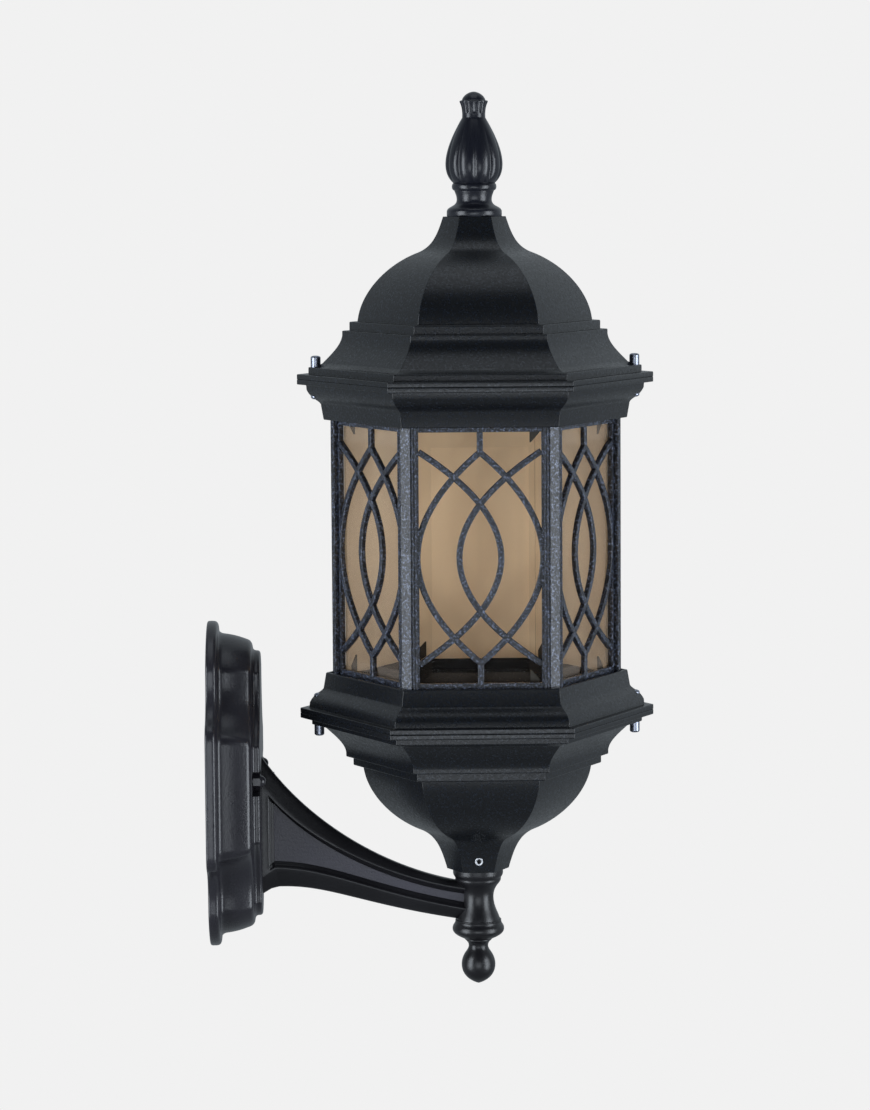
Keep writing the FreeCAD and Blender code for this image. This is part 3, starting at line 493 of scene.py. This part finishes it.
def textured_black(name, tint, grain_and_glint, rough, grain):
    """Pebbled powder coat: dark base, paler grains where a fine noise peaks, and a matching bump. The paler
    grains are partly the coat's own grain and partly painted glints that stand in for sparkle.
    """
    material = bpy.data.materials.new(name)
    material.use_nodes = True
    nodes, links = material.node_tree.nodes, material.node_tree.links
    coat = nodes["Principled BSDF"]
    where = nodes.new("ShaderNodeTexCoord")
    pebble = nodes.new("ShaderNodeTexNoise")
    pebble.inputs["Scale"].default_value = 680.0
    pebble.inputs["Detail"].default_value = 3.0
    pebble.inputs["Roughness"].default_value = 0.6
    links.new(where.outputs["Object"], pebble.inputs["Vector"])
    # The second stop is the paler grain colour: partly real grain tone, partly painted glint.
    grain_and_glint_ramp = nodes.new("ShaderNodeValToRGB")
    grain_and_glint_ramp.color_ramp.elements[0].position = 0.50
    grain_and_glint_ramp.color_ramp.elements[0].color = (*tint, 1)
    grain_and_glint_ramp.color_ramp.elements[1].position = 0.72
    grain_and_glint_ramp.color_ramp.elements[1].color = (*grain_and_glint, 1)
    links.new(pebble.outputs["Fac"], grain_and_glint_ramp.inputs["Fac"])
    links.new(grain_and_glint_ramp.outputs["Color"], coat.inputs["Base Color"])
    gloss = nodes.new("ShaderNodeMapRange")
    gloss.inputs["From Min"].default_value = 0.3
    gloss.inputs["From Max"].default_value = 0.7
    gloss.inputs["To Min"].default_value = rough + 0.1
    gloss.inputs["To Max"].default_value = rough - 0.1
    links.new(pebble.outputs["Fac"], gloss.inputs["Value"])
    links.new(gloss.outputs["Result"], coat.inputs["Roughness"])
    bump = nodes.new("ShaderNodeBump")
    bump.inputs["Strength"].default_value = grain
    bump.inputs["Distance"].default_value = 0.0008
    links.new(pebble.outputs["Fac"], bump.inputs["Height"])
    links.new(bump.outputs["Normal"], coat.inputs["Normal"])
    return material


# The second colour is the paler grain: partly the coat's tone, partly painted glint.
lantern_black = textured_black("lantern_black", (0.0028, 0.0034, 0.0044), (0.012, 0.0155, 0.023), 0.33, 0.1)
BOWL_TOP = HEAD_MID - FLANGE_H
bowl_line = bell_profile(skirt_h=16.0, ledge=6.2, neck_h=24.6, bore=8.6, bore_floor=74.5)
bowl_line[:, 1] = BOWL_TOP - bowl_line[:, 1]
place(shaped("lantern_bowl", [hex_carried(bowl_line)]), lantern_black, "textured_black_casting", "bowl")

# Set screws in the neck
# Three bright steel screws with hexagon sockets, in every other face of the neck. They are turned in
# with a key until they bite on the arm's spigot, so that the lantern can't twist.
SCREW_Z = COLLAR_Z + 7.7
SCREW_R = 2.6
SCREW_END = 20.2
KEY_R = 1.5
KEY_FLOOR = 18.4
SCREW_LINE = ((0.0, SPIGOT_R), (SCREW_R, SPIGOT_R), (SCREW_R, 19.9), (2.3, SCREW_END), (KEY_R, SCREW_END),
              (KEY_R, 20.1), (KEY_R, KEY_FLOOR), (0.0, KEY_FLOOR))


def key_flats(profile, angle):
    """Takes the socket's wall, below its mouth, in from KEY_R to a hexagon: KEY_R cos 30 / cos turn."""
    turn = angle % (np.pi / 3) - np.pi / 6
    wall = (profile[:, :1] == KEY_R) & (profile[:, 1:] < SCREW_END)
    return wall * KEY_R * (1 - np.cos(np.pi / 6) / np.cos(turn))


def set_screw(angle):
    """The screw's profile (radius, reach from the axis), spun and laid out along angle."""
    points, quads = turned(SCREW_LINE, 0.0, 36, key_flats)
    c, s = np.cos(angle), np.sin(angle)
    laid = np.stack([HEAD_X + points[:, 2] * c - points[:, 0] * s, points[:, 2] * s + points[:, 0] * c,
                     SCREW_Z + points[:, 1]], -1)
    return laid, quads


screws = shaped("neck_screws", [set_screw(HEX[k] + np.pi / 6) for k in (0, 2, 4)])
place(screws, plain_metal("screw_steel", (0.52, 0.53, 0.55), 0.3), "bright_steel", "neck_set_screws")

# Upper and lower ring
# Two cornice castings, one turned over: a flange for the bell, a cove and a plain fascia that hides
# the ends of the posts and panes. A shelf inside takes the post screws and is painted a dull black.
SHELF_SHADE_R = 81.4
RING_FLANGE = ((101.0, 106.1), (FLANGE_R, 106.1), (FLANGE_R, 102.8), (106.8, 102.8), (106.5, 99.4))
RING_COVE = ((106.5, 99.4), (103.5, 93.2), (99.0, 93.0), (97.6, 90.2))
RING_INSIDE = ((97.6, 90.2), (95.9, 80.4), (93.65, 80.4), (93.65, 81.9), (78.5, 81.9), (78.5, 84.9),
               (93.65, 84.9), (93.65, 90.2), (101.0, 100.0), (101.0, 106.1))
ring_line = np.vstack([rounded(RING_FLANGE, (0.1, 0.6, 0.6, 0.4, 0.2), 5, False),
                       bezier(RING_COVE, np.linspace(0, 1, 20)),
                       rounded(RING_INSIDE, (0.3, 0.7, 0.3, 0.3, 0.4, 0.4, 0.4, 0.4, 0.4, 0.2), 5, False)])
inside_black = satin_coat("inside_black", (0.006, 0.006, 0.006), 0.85, 0.05)
inside_black.node_tree.nodes["Principled BSDF"].inputs["Specular IOR Level"].default_value = 0.06
for ring_node, side in (("upper_ring", 1), ("lower_ring", -1)):
    ring_piece = shaped("cornice_" + ring_node, [hex_carried(ring_line * (1, side) + (0, HEAD_MID))])
    place(ring_piece, lantern_black, "textured_black_casting", ring_node)
    ring_piece.data.materials.append(inside_black)
    spot = face_values(ring_piece, "center") / MM
    hidden = np.hypot(spot[:, 0] - HEAD_X, spot[:, 1]) < SHELF_SHADE_R
    ring_piece.data.polygons.foreach_set("material_index", hidden.astype(np.int32))

# Bolts at the corners
# A round cap nut outside each flange and a screw head under each cove, of plated steel, at the
# corners that point to the wall and away from it.
bolt_metal = plain_metal("bolt_metal", (0.30, 0.32, 0.38), 0.34)
dress(bolt_metal, "roof_screws", "roof_cap_nuts", "bowl_screws", "bowl_cap_nuts")

# Posts
# Six angle posts with a flat nose and two reeded legs, screwed to the shelves of both rings. They
# and the lattice panels carry a bluer, more open-grained coat than the large castings; its bright
# blue-grey grains are painted glints that stand in for sparkle and reflected light.
# The bright blue-grey second colour is painted glint on the grains, not the coat's own tone alone.
cage_black = textured_black("cage_black", (0.007, 0.008, 0.011), (0.190, 0.218, 0.305), 0.30, 0.65)
POST_FACE = 80.9
POST_NOSE = 91.5
POST_WALL = 3.0
POST_LEG_END = 39.0
POST_HALF_L = 81.9
REED_STARTS = (42.75, 40.95)
REED_CUT = ((0.0, 0.0), (-0.15, -0.7), (-0.75, -0.7), (-0.9, 0.0))
PORT_AT = 86.6
PORT_R = 3.3
LEAN = np.radians(30)


def stand(grid, angle):
    """Turns points about the lantern's axis and lifts them to its middle height."""
    c, s = np.cos(angle), np.sin(angle)
    return np.stack([HEAD_X + grid[..., 0] * c - grid[..., 1] * s, grid[..., 0] * s + grid[..., 1] * c,
                     HEAD_MID + grid[..., 2]], -1)


def post_section():
    """Half of the section from the nose along one leg, with two reeds cut in, then mirrored."""
    across = np.array([np.cos(LEAN), np.sin(LEAN)])
    along = np.array([-across[1], across[0]])
    nose = (POST_FACE / np.cos(LEAN) - POST_NOSE) * np.tan(2 * LEAN)
    reeds = [np.array(REED_CUT) + (start, 0) for start in REED_STARTS]
    leg = np.vstack(reeds + [[(POST_LEG_END, 0), (POST_LEG_END, -POST_WALL)]])
    half = across * (POST_FACE + leg[:, 1:]) - along * leg[:, :1]
    half = np.vstack([[POST_NOSE, nose], half, [(POST_FACE - POST_WALL) / np.cos(LEAN), 0]])
    return np.vstack([half, half[-2::-1] * (1, -1)])


def post_skin(angle):
    """The section drawn straight up, closed at both ends, turned to its corner."""
    line = rounded(post_section(), 0.28, 4)
    ends = np.array([-POST_HALF_L, POST_HALF_L]).reshape(-1, 1, 1)
    grid = np.concatenate([np.broadcast_to(line, (2,) + line.shape), ends + 0 * line[None, :, :1]], 2)
    middle = grid.mean(1, keepdims=True) + 0 * grid
    grid = np.concatenate([middle[:1], grid, middle[1:]])
    return grid_quads(stand(grid, angle), loop_v=True)


def post_port(angle):
    """The round screw port inside the corner: a circle drawn straight up and closed at both ends."""
    turn = np.linspace(0, 2 * np.pi, 24, endpoint=False)
    radius = np.array([0.0, PORT_R, PORT_R, 0.0]).reshape(-1, 1)
    height = np.array([-POST_HALF_L, -POST_HALF_L, POST_HALF_L, POST_HALF_L]).reshape(-1, 1)
    grid = np.stack([PORT_AT + radius * np.cos(turn), radius * np.sin(turn), height + 0 * turn], -1)
    return grid_quads(stand(grid, angle), loop_v=True)


for k in range(6):
    post_piece = shaped("corner_post_%d" % (k + 1), [post_skin(HEX[k]), post_port(HEX[k])], 28)
    place(post_piece, cage_black, "textured_black_casting", "post_%d" % (k + 1))

# Lattice panels
# Cast panels of interlaced arcs in a thin frame, lying behind the legs of the posts. The arcs are
# parabolas: two make a pointed oval and two cross it to leave a lens in the middle.
LATTICE_THICK = 3.0
LATTICE_BACK = POST_FACE - POST_WALL - LATTICE_THICK
LATTICE_HALF_W = 41.0
BAR_W = 3.8
BAR_LIFT = -0.02
OPEN_W = 37.6
OPEN_H = 77.4
APEX = 65.0
REACH = 65.5
LENS = 12.8
bar_section = rounded(((-0.5 * BAR_W, 0), (0.5 * BAR_W, 0), (0.5 * BAR_W, LATTICE_THICK),
                       (-0.5 * BAR_W, LATTICE_THICK)), (0.2, 0.2, 0.75, 0.75), 5)


def bar_along(path, lift):
    """The bar's section set square to a path (y, z) in the panel, with closed ends.

    The lift sets the bar a hair off its neighbours, so that no two faces lie in one plane.
    """
    way = np.gradient(path, axis=0)
    way = way / np.linalg.norm(way, axis=1, keepdims=True)
    side = np.stack([-way[:, 1], way[:, 0]], -1)
    flat = path[:, None] + side[:, None] * bar_section[None, :, :1]
    depth = np.broadcast_to(bar_section[None, :, 1:], flat.shape[:2] + (1,))
    grid = np.concatenate([LATTICE_BACK + lift + depth, flat], 2)
    middle = grid.mean(1, keepdims=True) + 0 * grid
    return np.concatenate([middle[:1], grid, middle[-1:]])


def lattice_bars():
    """Six bars, each a path of (y, z), mirrored in pairs.

    The oval's sides are y = bulge (1 - t^2), the crossing arcs y = LENS - (OPEN_W + LENS) t^2, and two
    stems join the oval's points to the frame.
    """
    t = np.linspace(-1, 1, 61)
    bulge = OPEN_W + BAR_W / 4
    paths = []
    for s in (1, -1):
        paths.append(np.stack([s * bulge * (1 - t ** 2), APEX * t], -1))
        paths.append(np.stack([s * (LENS - (OPEN_W + LENS) * t ** 2), REACH * t], -1))
        paths.append(np.stack([0 * t[:9], s * np.linspace(APEX - 1, OPEN_H + 1, 9)], -1))
    return [bar_along(path, BAR_LIFT * (k + 1)) for k, path in enumerate(paths)]


def lattice_frame():
    """A flat border: the opening's edge and the outer edge joined by a rounded section, mitred at corners."""
    line = rounded(((0.0, 0.0), (0.0, LATTICE_THICK), (1.0, LATTICE_THICK), (1.0, 0.0)),
                   (0.05, 0.12, 0.05, 0.05), 4)
    corner = np.array([(1, 1), (-1, 1), (-1, -1), (1, -1)])
    inner = np.array([OPEN_W, OPEN_H])
    outer = np.array([LATTICE_HALF_W, POST_HALF_L])
    reach = inner + (outer - inner) * line[:, :1]
    flat = reach[:, None] * corner[None]
    return np.concatenate([LATTICE_BACK + np.broadcast_to(line[:, None, 1:], flat.shape[:2] + (1,)), flat], 2)


for k in range(6):
    facing = HEX[k] + LEAN
    strips = [grid_quads(stand(bar, facing), loop_v=True) for bar in lattice_bars()]
    border = grid_quads(stand(lattice_frame(), facing), loop_u=True, loop_v=True)
    lattice_piece = shaped("arc_lattice_%d" % (k + 1), strips + [border])
    place(lattice_piece, cage_black, "textured_black_casting", "lattice_%d" % (k + 1))

# Panes
# Champagne plate glass with a wide bevel, standing on the lower ring's shelf behind the lattice.
# The outer face is clear and polished; the inner face is etched, so it glows when seen from within.
PANE_OUT = LATTICE_BACK
PANE_THICK = 4.0
PANE_HALF_W = 40.85
PANE_LOW = -81.9
PANE_HIGH = 78.9
PANE_MID = (PANE_LOW + PANE_HIGH) / 2
PANE_HEART = 60.0
BEVEL_W = 11.0
BEVEL_EDGE = 1.6


def pane_skin(angle):
    """Five square loops: the heart of the front, the bevel's foot, the edge, the back edge, the back's heart.

    A loop lies inset from the pane's edge, and the heart's inset is past half the width, so it is a line.
    """
    back = PANE_OUT - PANE_THICK
    loops = np.array([(PANE_OUT, PANE_HEART), (PANE_OUT, BEVEL_W), (back + BEVEL_EDGE, 0), (back, 0),
                      (back, PANE_HEART)])
    corner = np.array([(1, 1), (-1, 1), (-1, 0), (1, 0)])
    inset = loops[:, 1].reshape(-1, 1)
    y = corner[:, 0] * np.maximum(PANE_HALF_W - inset, 0)
    top = np.maximum(PANE_HIGH - inset, PANE_MID)
    low = np.minimum(PANE_LOW + inset, PANE_MID)
    z = np.where(corner[:, 1] > 0, top, low)
    grid = np.stack([np.broadcast_to(loops[:, :1], y.shape), y, z], -1)
    return grid_quads(stand(grid, angle), loop_v=True)


def tan_veil(nodes, links, tint):
    """Soft champagne body of the glass: most light thrown back, some passed, in faint upright streaks."""
    where = nodes.new("ShaderNodeTexCoord")
    stretch = nodes.new("ShaderNodeMapping")
    stretch.inputs["Scale"].default_value = (55.0, 55.0, 2.5)
    links.new(where.outputs["Object"], stretch.inputs["Vector"])
    streak = nodes.new("ShaderNodeTexNoise")
    streak.inputs["Scale"].default_value = 1.0
    links.new(stretch.outputs["Vector"], streak.inputs["Vector"])
    tone = nodes.new("ShaderNodeValToRGB")
    tone.color_ramp.elements[0].position = 0.3
    tone.color_ramp.elements[0].color = (*[0.93 * c for c in tint], 1)
    tone.color_ramp.elements[1].position = 0.7
    tone.color_ramp.elements[1].color = (*[1.05 * c for c in tint], 1)
    links.new(streak.outputs["Fac"], tone.inputs["Fac"])
    thrown = nodes.new("ShaderNodeBsdfDiffuse")
    passed = nodes.new("ShaderNodeBsdfTranslucent")
    links.new(tone.outputs["Color"], thrown.inputs["Color"])
    links.new(tone.outputs["Color"], passed.inputs["Color"])
    body = nodes.new("ShaderNodeMixShader")
    body.inputs["Fac"].default_value = 0.2
    links.new(thrown.outputs["BSDF"], body.inputs[1])
    links.new(passed.outputs["BSDF"], body.inputs[2])
    return body.outputs["Shader"]


def champagne(name, tint, clear_tint, veil_front=0, veil_slant=0, etched=False):
    """Tinted plate glass: clear when seen square on, veiled when seen aslant, with a polished outer gloss.

    The etched face is veiled where it is seen from the air inside the lantern, clear from within the
    glass, and lets lamplight in. The gloss is only for rays that come from the air.
    """
    material = bpy.data.materials.new(name)
    material.use_nodes = True
    nodes, links = material.node_tree.nodes, material.node_tree.links
    nodes.remove(nodes["Principled BSDF"])
    veil = tan_veil(nodes, links, tint)
    clear = nodes.new("ShaderNodeBsdfTransparent")
    clear.inputs["Color"].default_value = (*clear_tint, 1)
    mix = nodes.new("ShaderNodeMixShader")
    links.new(clear.outputs["BSDF"], mix.inputs[1])
    links.new(veil, mix.inputs[2])
    side = nodes.new("ShaderNodeNewGeometry")
    if etched:
        ray = nodes.new("ShaderNodeLightPath")
        through = nodes.new("ShaderNodeMath")
        through.operation = "MAXIMUM"
        links.new(side.outputs["Backfacing"], through.inputs[0])
        links.new(ray.outputs["Is Shadow Ray"], through.inputs[1])
        veiled = nodes.new("ShaderNodeMath")
        veiled.operation = "SUBTRACT"
        veiled.inputs[0].default_value = 1.0
        links.new(through.outputs[0], veiled.inputs[1])
        links.new(veiled.outputs[0], mix.inputs["Fac"])
    else:
        slant = nodes.new("ShaderNodeLayerWeight")
        amount = nodes.new("ShaderNodeMapRange")
        amount.inputs["From Max"].default_value = 0.5
        amount.inputs["To Min"].default_value = veil_front
        amount.inputs["To Max"].default_value = veil_slant
        links.new(slant.outputs["Facing"], amount.inputs["Value"])
        links.new(amount.outputs["Result"], mix.inputs["Fac"])
    gloss = nodes.new("ShaderNodeBsdfGlossy")
    gloss.inputs["Roughness"].default_value = 0.06
    edge = nodes.new("ShaderNodeFresnel")
    edge.inputs["IOR"].default_value = 1.12
    from_air = nodes.new("ShaderNodeMath")
    from_air.operation = "SUBTRACT"
    from_air.use_clamp = True
    links.new(edge.outputs["Fac"], from_air.inputs[0])
    links.new(side.outputs["Backfacing"], from_air.inputs[1])
    polish = nodes.new("ShaderNodeMixShader")
    links.new(from_air.outputs[0], polish.inputs["Fac"])
    links.new(mix.outputs["Shader"], polish.inputs[1])
    links.new(gloss.outputs["BSDF"], polish.inputs[2])
    links.new(polish.outputs["Shader"], nodes["Material Output"].inputs["Surface"])
    return material


TAN = (0.845, 0.705, 0.56)
CLEAR_TINT = (0.985, 0.95, 0.88)
pane_glass = [champagne("champagne_plate", (0.22, 0.175, 0.14), CLEAR_TINT, 0.0, 0.36),
              champagne("champagne_bevel", (0.34, 0.28, 0.23), CLEAR_TINT, 0.05, 0.36),
              champagne("champagne_inner", TAN, (0.985, 0.965, 0.93), etched=True),
              champagne("champagne_edge", TAN, CLEAR_TINT, 1, 1)]
for k in range(6):
    facing = HEX[k] + LEAN
    pane_piece = shaped("bevelled_pane_%d" % (k + 1), [pane_skin(facing)], 4)
    place(pane_piece, pane_glass[0], "champagne_glass", "pane_%d" % (k + 1))
    for face_glass in pane_glass[1:]:
        pane_piece.data.materials.append(face_glass)
    square_on = face_values(pane_piece, "normal") @ (np.cos(facing), np.sin(facing), 0)
    kind = np.select([square_on > 0.999, square_on > 0.5, square_on < -0.5], [0, 1, 2], 3)
    pane_piece.data.polygons.foreach_set("material_index", kind.astype(np.int32))
dress(satin_coat("clip_black", (0.012, 0.012, 0.012), 0.45, 0.05), "pane_clips")

# Lamp holder
# A glazed porcelain holder with a brass screw shell and a bent brass contact in its floor. It
# stands on a nut, on the threaded stem that comes up through the bowl.
dress(satin_coat("holder_porcelain", (0.72, 0.71, 0.68), 0.16, 0.03), "lamp_holder")
dress(plain_metal("shell_brass", (0.68, 0.49, 0.20), 0.3), "lamp_screw_shell", "lamp_contact")

# Roof
# The bell casting the right way up, bolted by its flange to the upper ring, in the bowl's textured
# black. A lid closes its neck and takes the finial's stud.
CAP_Z = HEAD_MID + FLANGE_H
roof_line = bell_profile(skirt_h=17.9, ledge=5.1, neck_h=22.1, bore=3.6, bore_floor=92.2)
roof_line[:, 1] += CAP_Z
place(shaped("lantern_roof", [hex_carried(roof_line)]), lantern_black, "textured_black_casting", "roof")

# Finial
# A cast and turned ornament: round base, waist, bead, a gadrooned bulb of ten lobes and a fluted
# crown with a small dome. A stud and a nut inside the roof hold it.
ROOF_TOP = CAP_Z + CAP_HEIGHT
LOBES = 10
BULB_FLUTE = 1.3
BULB_R = 17.0
CROWN_FLUTE = 0.6


def finial_profile():
    """Half section (radius, height) up from the base over waist, bead, bulb and neck to the crown's dome."""
    z = ROOF_TOP
    bulb = ((13.0, z + 20.8), (20.5, z + 27.5), (20.0, z + 40.0), (7.3, z + 61.5))
    return run(((0.0, z), (17.0, z)), ((17.3, z + 0.3), (17.3, z + 3.2)),
               ((17.3, z + 3.2), (16.8, z + 6.6), (11.0, z + 6.0), (11.0, z + 10.5)),
               ((11.0, z + 10.5), (11.0, z + 13.0), (12.0, z + 14.6), (12.5, z + 16.2)),
               ((12.5, z + 16.2), (14.4, z + 16.6), (14.4, z + 20.0), (13.0, z + 20.8)),
               bezier(bulb, np.linspace(0, 1, 60)),
               ((7.3, z + 61.5), (7.2, z + 63.0), (7.2, z + 64.0), (7.3, z + 65.0)),
               ((7.3, z + 65.0), (7.4, z + 67.5), (8.0, z + 69.5), (8.9, z + 71.4)),
               ((8.7, z + 72.0), (7.4, z + 72.4)),
               ((7.4, z + 72.4), (6.6, z + 75.4), (3.0, z + 77.6), (0.0, z + 77.7)))


def finial_lobes(profile, angle):
    """Depth of the flutes: a rounded notch between lobes, dying out up the bulb, and again on the crown."""
    rise = profile[:, 1:] - ROOF_TOP
    bulb = np.clip((rise - 20.9) / 5, 0, 1) * np.clip((58.0 - rise) / 24, 0, 1)
    crown = np.clip((rise - 64.0) / 1.5, 0, 1) * np.clip((72.2 - rise) / 0.6, 0, 1)
    notch = (0.5 - 0.5 * np.cos(LOBES * angle)).reshape(1, -1)
    notch = 1 - np.sqrt(np.clip(1 - notch ** 2, 0, 1))
    return (BULB_FLUTE * bulb * profile[:, :1] / BULB_R + CROWN_FLUTE * crown) * notch


finial_piece = shaped("roof_finial", [turned(finial_profile(), around=240, lobes=finial_lobes)], 60)
finial_black = satin_coat("finial_black", (0.0075, 0.0085, 0.0135), 0.29, 0.1)
place(finial_piece, finial_black, "textured_black_casting", "finial")

# Stage, light and camera
# A pale floor and an even pale surround, with two tall soft lamps at the sides, a weak one at the
# camera and one overhead. The camera stands where the picture was taken from.
PALE = (0.88, 0.88, 0.88, 1)
COOL = (0.80, 0.89, 0.96, 1)
FLOOR_Z = -0.75
FLOOR_HALF = 9.0


def seen_ray(nodes, links):
    """1 for rays from the eye and for rays that pass through glass, else 0."""
    ray = nodes.new("ShaderNodeLightPath")
    either = nodes.new("ShaderNodeMath")
    either.operation = "MAXIMUM"
    links.new(ray.outputs["Is Camera Ray"], either.inputs[0])
    links.new(ray.outputs["Is Transmission Ray"], either.inputs[1])
    return either.outputs[0]


def pale_floor():
    """White to the eye and matt to the lamps; gloss on the lantern sees it pale behind and dark in front."""
    material = bpy.data.materials.new("pale_floor")
    material.use_nodes = True
    nodes, links = material.node_tree.nodes, material.node_tree.links
    matt = nodes["Principled BSDF"]
    matt.inputs["Base Color"].default_value = (0.22, 0.22, 0.22, 1)
    matt.inputs["Roughness"].default_value = 0.9
    where = nodes.new("ShaderNodeTexCoord")
    split = nodes.new("ShaderNodeSeparateXYZ")
    links.new(where.outputs["Object"], split.inputs["Vector"])
    back = nodes.new("ShaderNodeMapRange")
    back.interpolation_type = "SMOOTHSTEP"
    back.inputs["From Min"].default_value = -0.2
    back.inputs["From Max"].default_value = 0.6
    links.new(split.outputs["Y"], back.inputs["Value"])
    ray = nodes.new("ShaderNodeLightPath")
    mirrored = nodes.new("ShaderNodeMath")
    mirrored.operation = "MULTIPLY"
    links.new(ray.outputs["Is Glossy Ray"], mirrored.inputs[0])
    links.new(back.outputs["Result"], mirrored.inputs[1])
    far_glow = nodes.new("ShaderNodeEmission")
    far_glow.inputs["Color"].default_value = COOL
    far_glow.inputs["Strength"].default_value = 0.36
    ground = nodes.new("ShaderNodeMixShader")
    links.new(mirrored.outputs[0], ground.inputs["Fac"])
    links.new(matt.outputs["BSDF"], ground.inputs[1])
    links.new(far_glow.outputs["Emission"], ground.inputs[2])
    glow = nodes.new("ShaderNodeEmission")
    glow.inputs["Color"].default_value = PALE
    mix = nodes.new("ShaderNodeMixShader")
    links.new(seen_ray(nodes, links), mix.inputs["Fac"])
    links.new(ground.outputs["Shader"], mix.inputs[1])
    links.new(glow.outputs["Emission"], mix.inputs[2])
    links.new(mix.outputs["Shader"], nodes["Material Output"].inputs["Surface"])
    return material


floor_corners = [(x * FLOOR_HALF, y * FLOOR_HALF, FLOOR_Z) for x, y in ((-1, -1), (1, -1), (1, 1), (-1, 1))]
floor_mesh = bpy.data.meshes.new("floor")
floor_mesh.from_pydata(floor_corners, [], [(0, 1, 2, 3)])
floor = bpy.data.objects.new("floor", floor_mesh)
bpy.context.scene.collection.objects.link(floor)
floor_mesh.materials.append(pale_floor())


def pale_surround():
    """Plain pale to the eye; as a light it is cool, and brighter behind the lantern and to the right."""
    world = bpy.data.worlds.new("surround")
    world.use_nodes = True
    nodes, links = world.node_tree.nodes, world.node_tree.links
    surround = nodes["Background"]
    hue = nodes.new("ShaderNodeMix")
    hue.data_type = "RGBA"
    hue.inputs[6].default_value = COOL
    hue.inputs[7].default_value = PALE
    links.new(seen_ray(nodes, links), hue.inputs[0])
    links.new(hue.outputs[2], surround.inputs["Color"])
    way_out = nodes.new("ShaderNodeTexCoord")
    split = nodes.new("ShaderNodeSeparateXYZ")
    links.new(way_out.outputs["Generated"], split.inputs["Vector"])
    behind = nodes.new("ShaderNodeMapRange")
    behind.interpolation_type = "SMOOTHSTEP"
    behind.inputs["From Min"].default_value = -0.25
    behind.inputs["From Max"].default_value = 0.55
    behind.inputs["To Min"].default_value = 0.02
    behind.inputs["To Max"].default_value = 0.55
    links.new(split.outputs["Y"], behind.inputs["Value"])
    rightward = nodes.new("ShaderNodeMapRange")
    rightward.inputs["From Min"].default_value = -1.0
    rightward.inputs["To Min"].default_value = 0.72
    rightward.inputs["To Max"].default_value = 1.2
    links.new(split.outputs["X"], rightward.inputs["Value"])
    shaded = nodes.new("ShaderNodeMath")
    shaded.operation = "MULTIPLY"
    links.new(behind.outputs["Result"], shaded.inputs[0])
    links.new(rightward.outputs["Result"], shaded.inputs[1])
    level = nodes.new("ShaderNodeMapRange")
    links.new(shaded.outputs[0], level.inputs["To Min"])
    links.new(seen_ray(nodes, links), level.inputs["Value"])
    links.new(level.outputs["Result"], surround.inputs["Strength"])
    return world


bpy.context.scene.world = pale_surround()


def set_facing(thing, spot, ahead, roll):
    """Places a lamp or camera at spot with its -Z along ahead, then rolls it about that line."""
    ahead = ahead / np.linalg.norm(ahead)
    right = np.cross(ahead, (0, 0, 1.0))
    right = right / np.linalg.norm(right)
    up = np.cross(right, ahead)
    c, s = np.cos(roll), np.sin(roll)
    axes = np.stack([c * right + s * up, c * up - s * right, -ahead], 1)
    stance = np.eye(4)
    stance[:3, :3] = axes
    stance[:3, 3] = spot
    thing.matrix_world = mathutils.Matrix(stance.tolist())


def soft_lamp(name, spot, aim, size, power):
    """An oblong area lamp at spot, turned to face aim."""
    lamp = bpy.data.lights.new(name, "AREA")
    lamp.shape = "RECTANGLE"
    lamp.size, lamp.size_y = size
    lamp.energy = power
    lamp.color = (0.86, 0.925, 1.0)
    holder = bpy.data.objects.new(name, lamp)
    bpy.context.scene.collection.objects.link(holder)
    set_facing(holder, np.array(spot), np.array(aim) - np.array(spot), 0.0)


LANTERN_HEART = (0.17, 0, 0.15)
soft_lamp("left_lamp", (-1.21, -0.8, 0.05), LANTERN_HEART, (0.8, 1.8), 30)
soft_lamp("right_lamp", (1.56, -0.8, -0.05), LANTERN_HEART, (0.8, 1.8), 30)
soft_lamp("front_lamp", (0.1, -2.6, -0.3), (0.1, 0, -0.3), (1.7, 1.1), 17)
soft_lamp("top_lamp", (0.17, -0.2, 1.8), LANTERN_HEART, (1.0, 1.0), 3)

EYE_AT = (0.09424, -2.29599, 0.38432)
EYE_YAW = np.radians(1.263)
EYE_PITCH = np.radians(-6.123)
EYE_ROLL = np.radians(-0.396)
PHOTO_H = 1110
FOCAL_PIXELS = 3644.6
eye = bpy.data.cameras.new("photo_camera")
eye.sensor_fit = "AUTO"
eye.sensor_width = 36.0
eye.lens = FOCAL_PIXELS / PHOTO_H * eye.sensor_width
camera = bpy.data.objects.new("photo_camera", eye)
bpy.context.scene.collection.objects.link(camera)
level_share = np.cos(EYE_PITCH)
ahead = np.array([np.sin(EYE_YAW) * level_share, np.cos(EYE_YAW) * level_share, np.sin(EYE_PITCH)])
set_facing(camera, np.array(EYE_AT), ahead, EYE_ROLL)
bpy.context.scene.camera = camera
bpy.context.scene.view_settings.view_transform = "Standard"
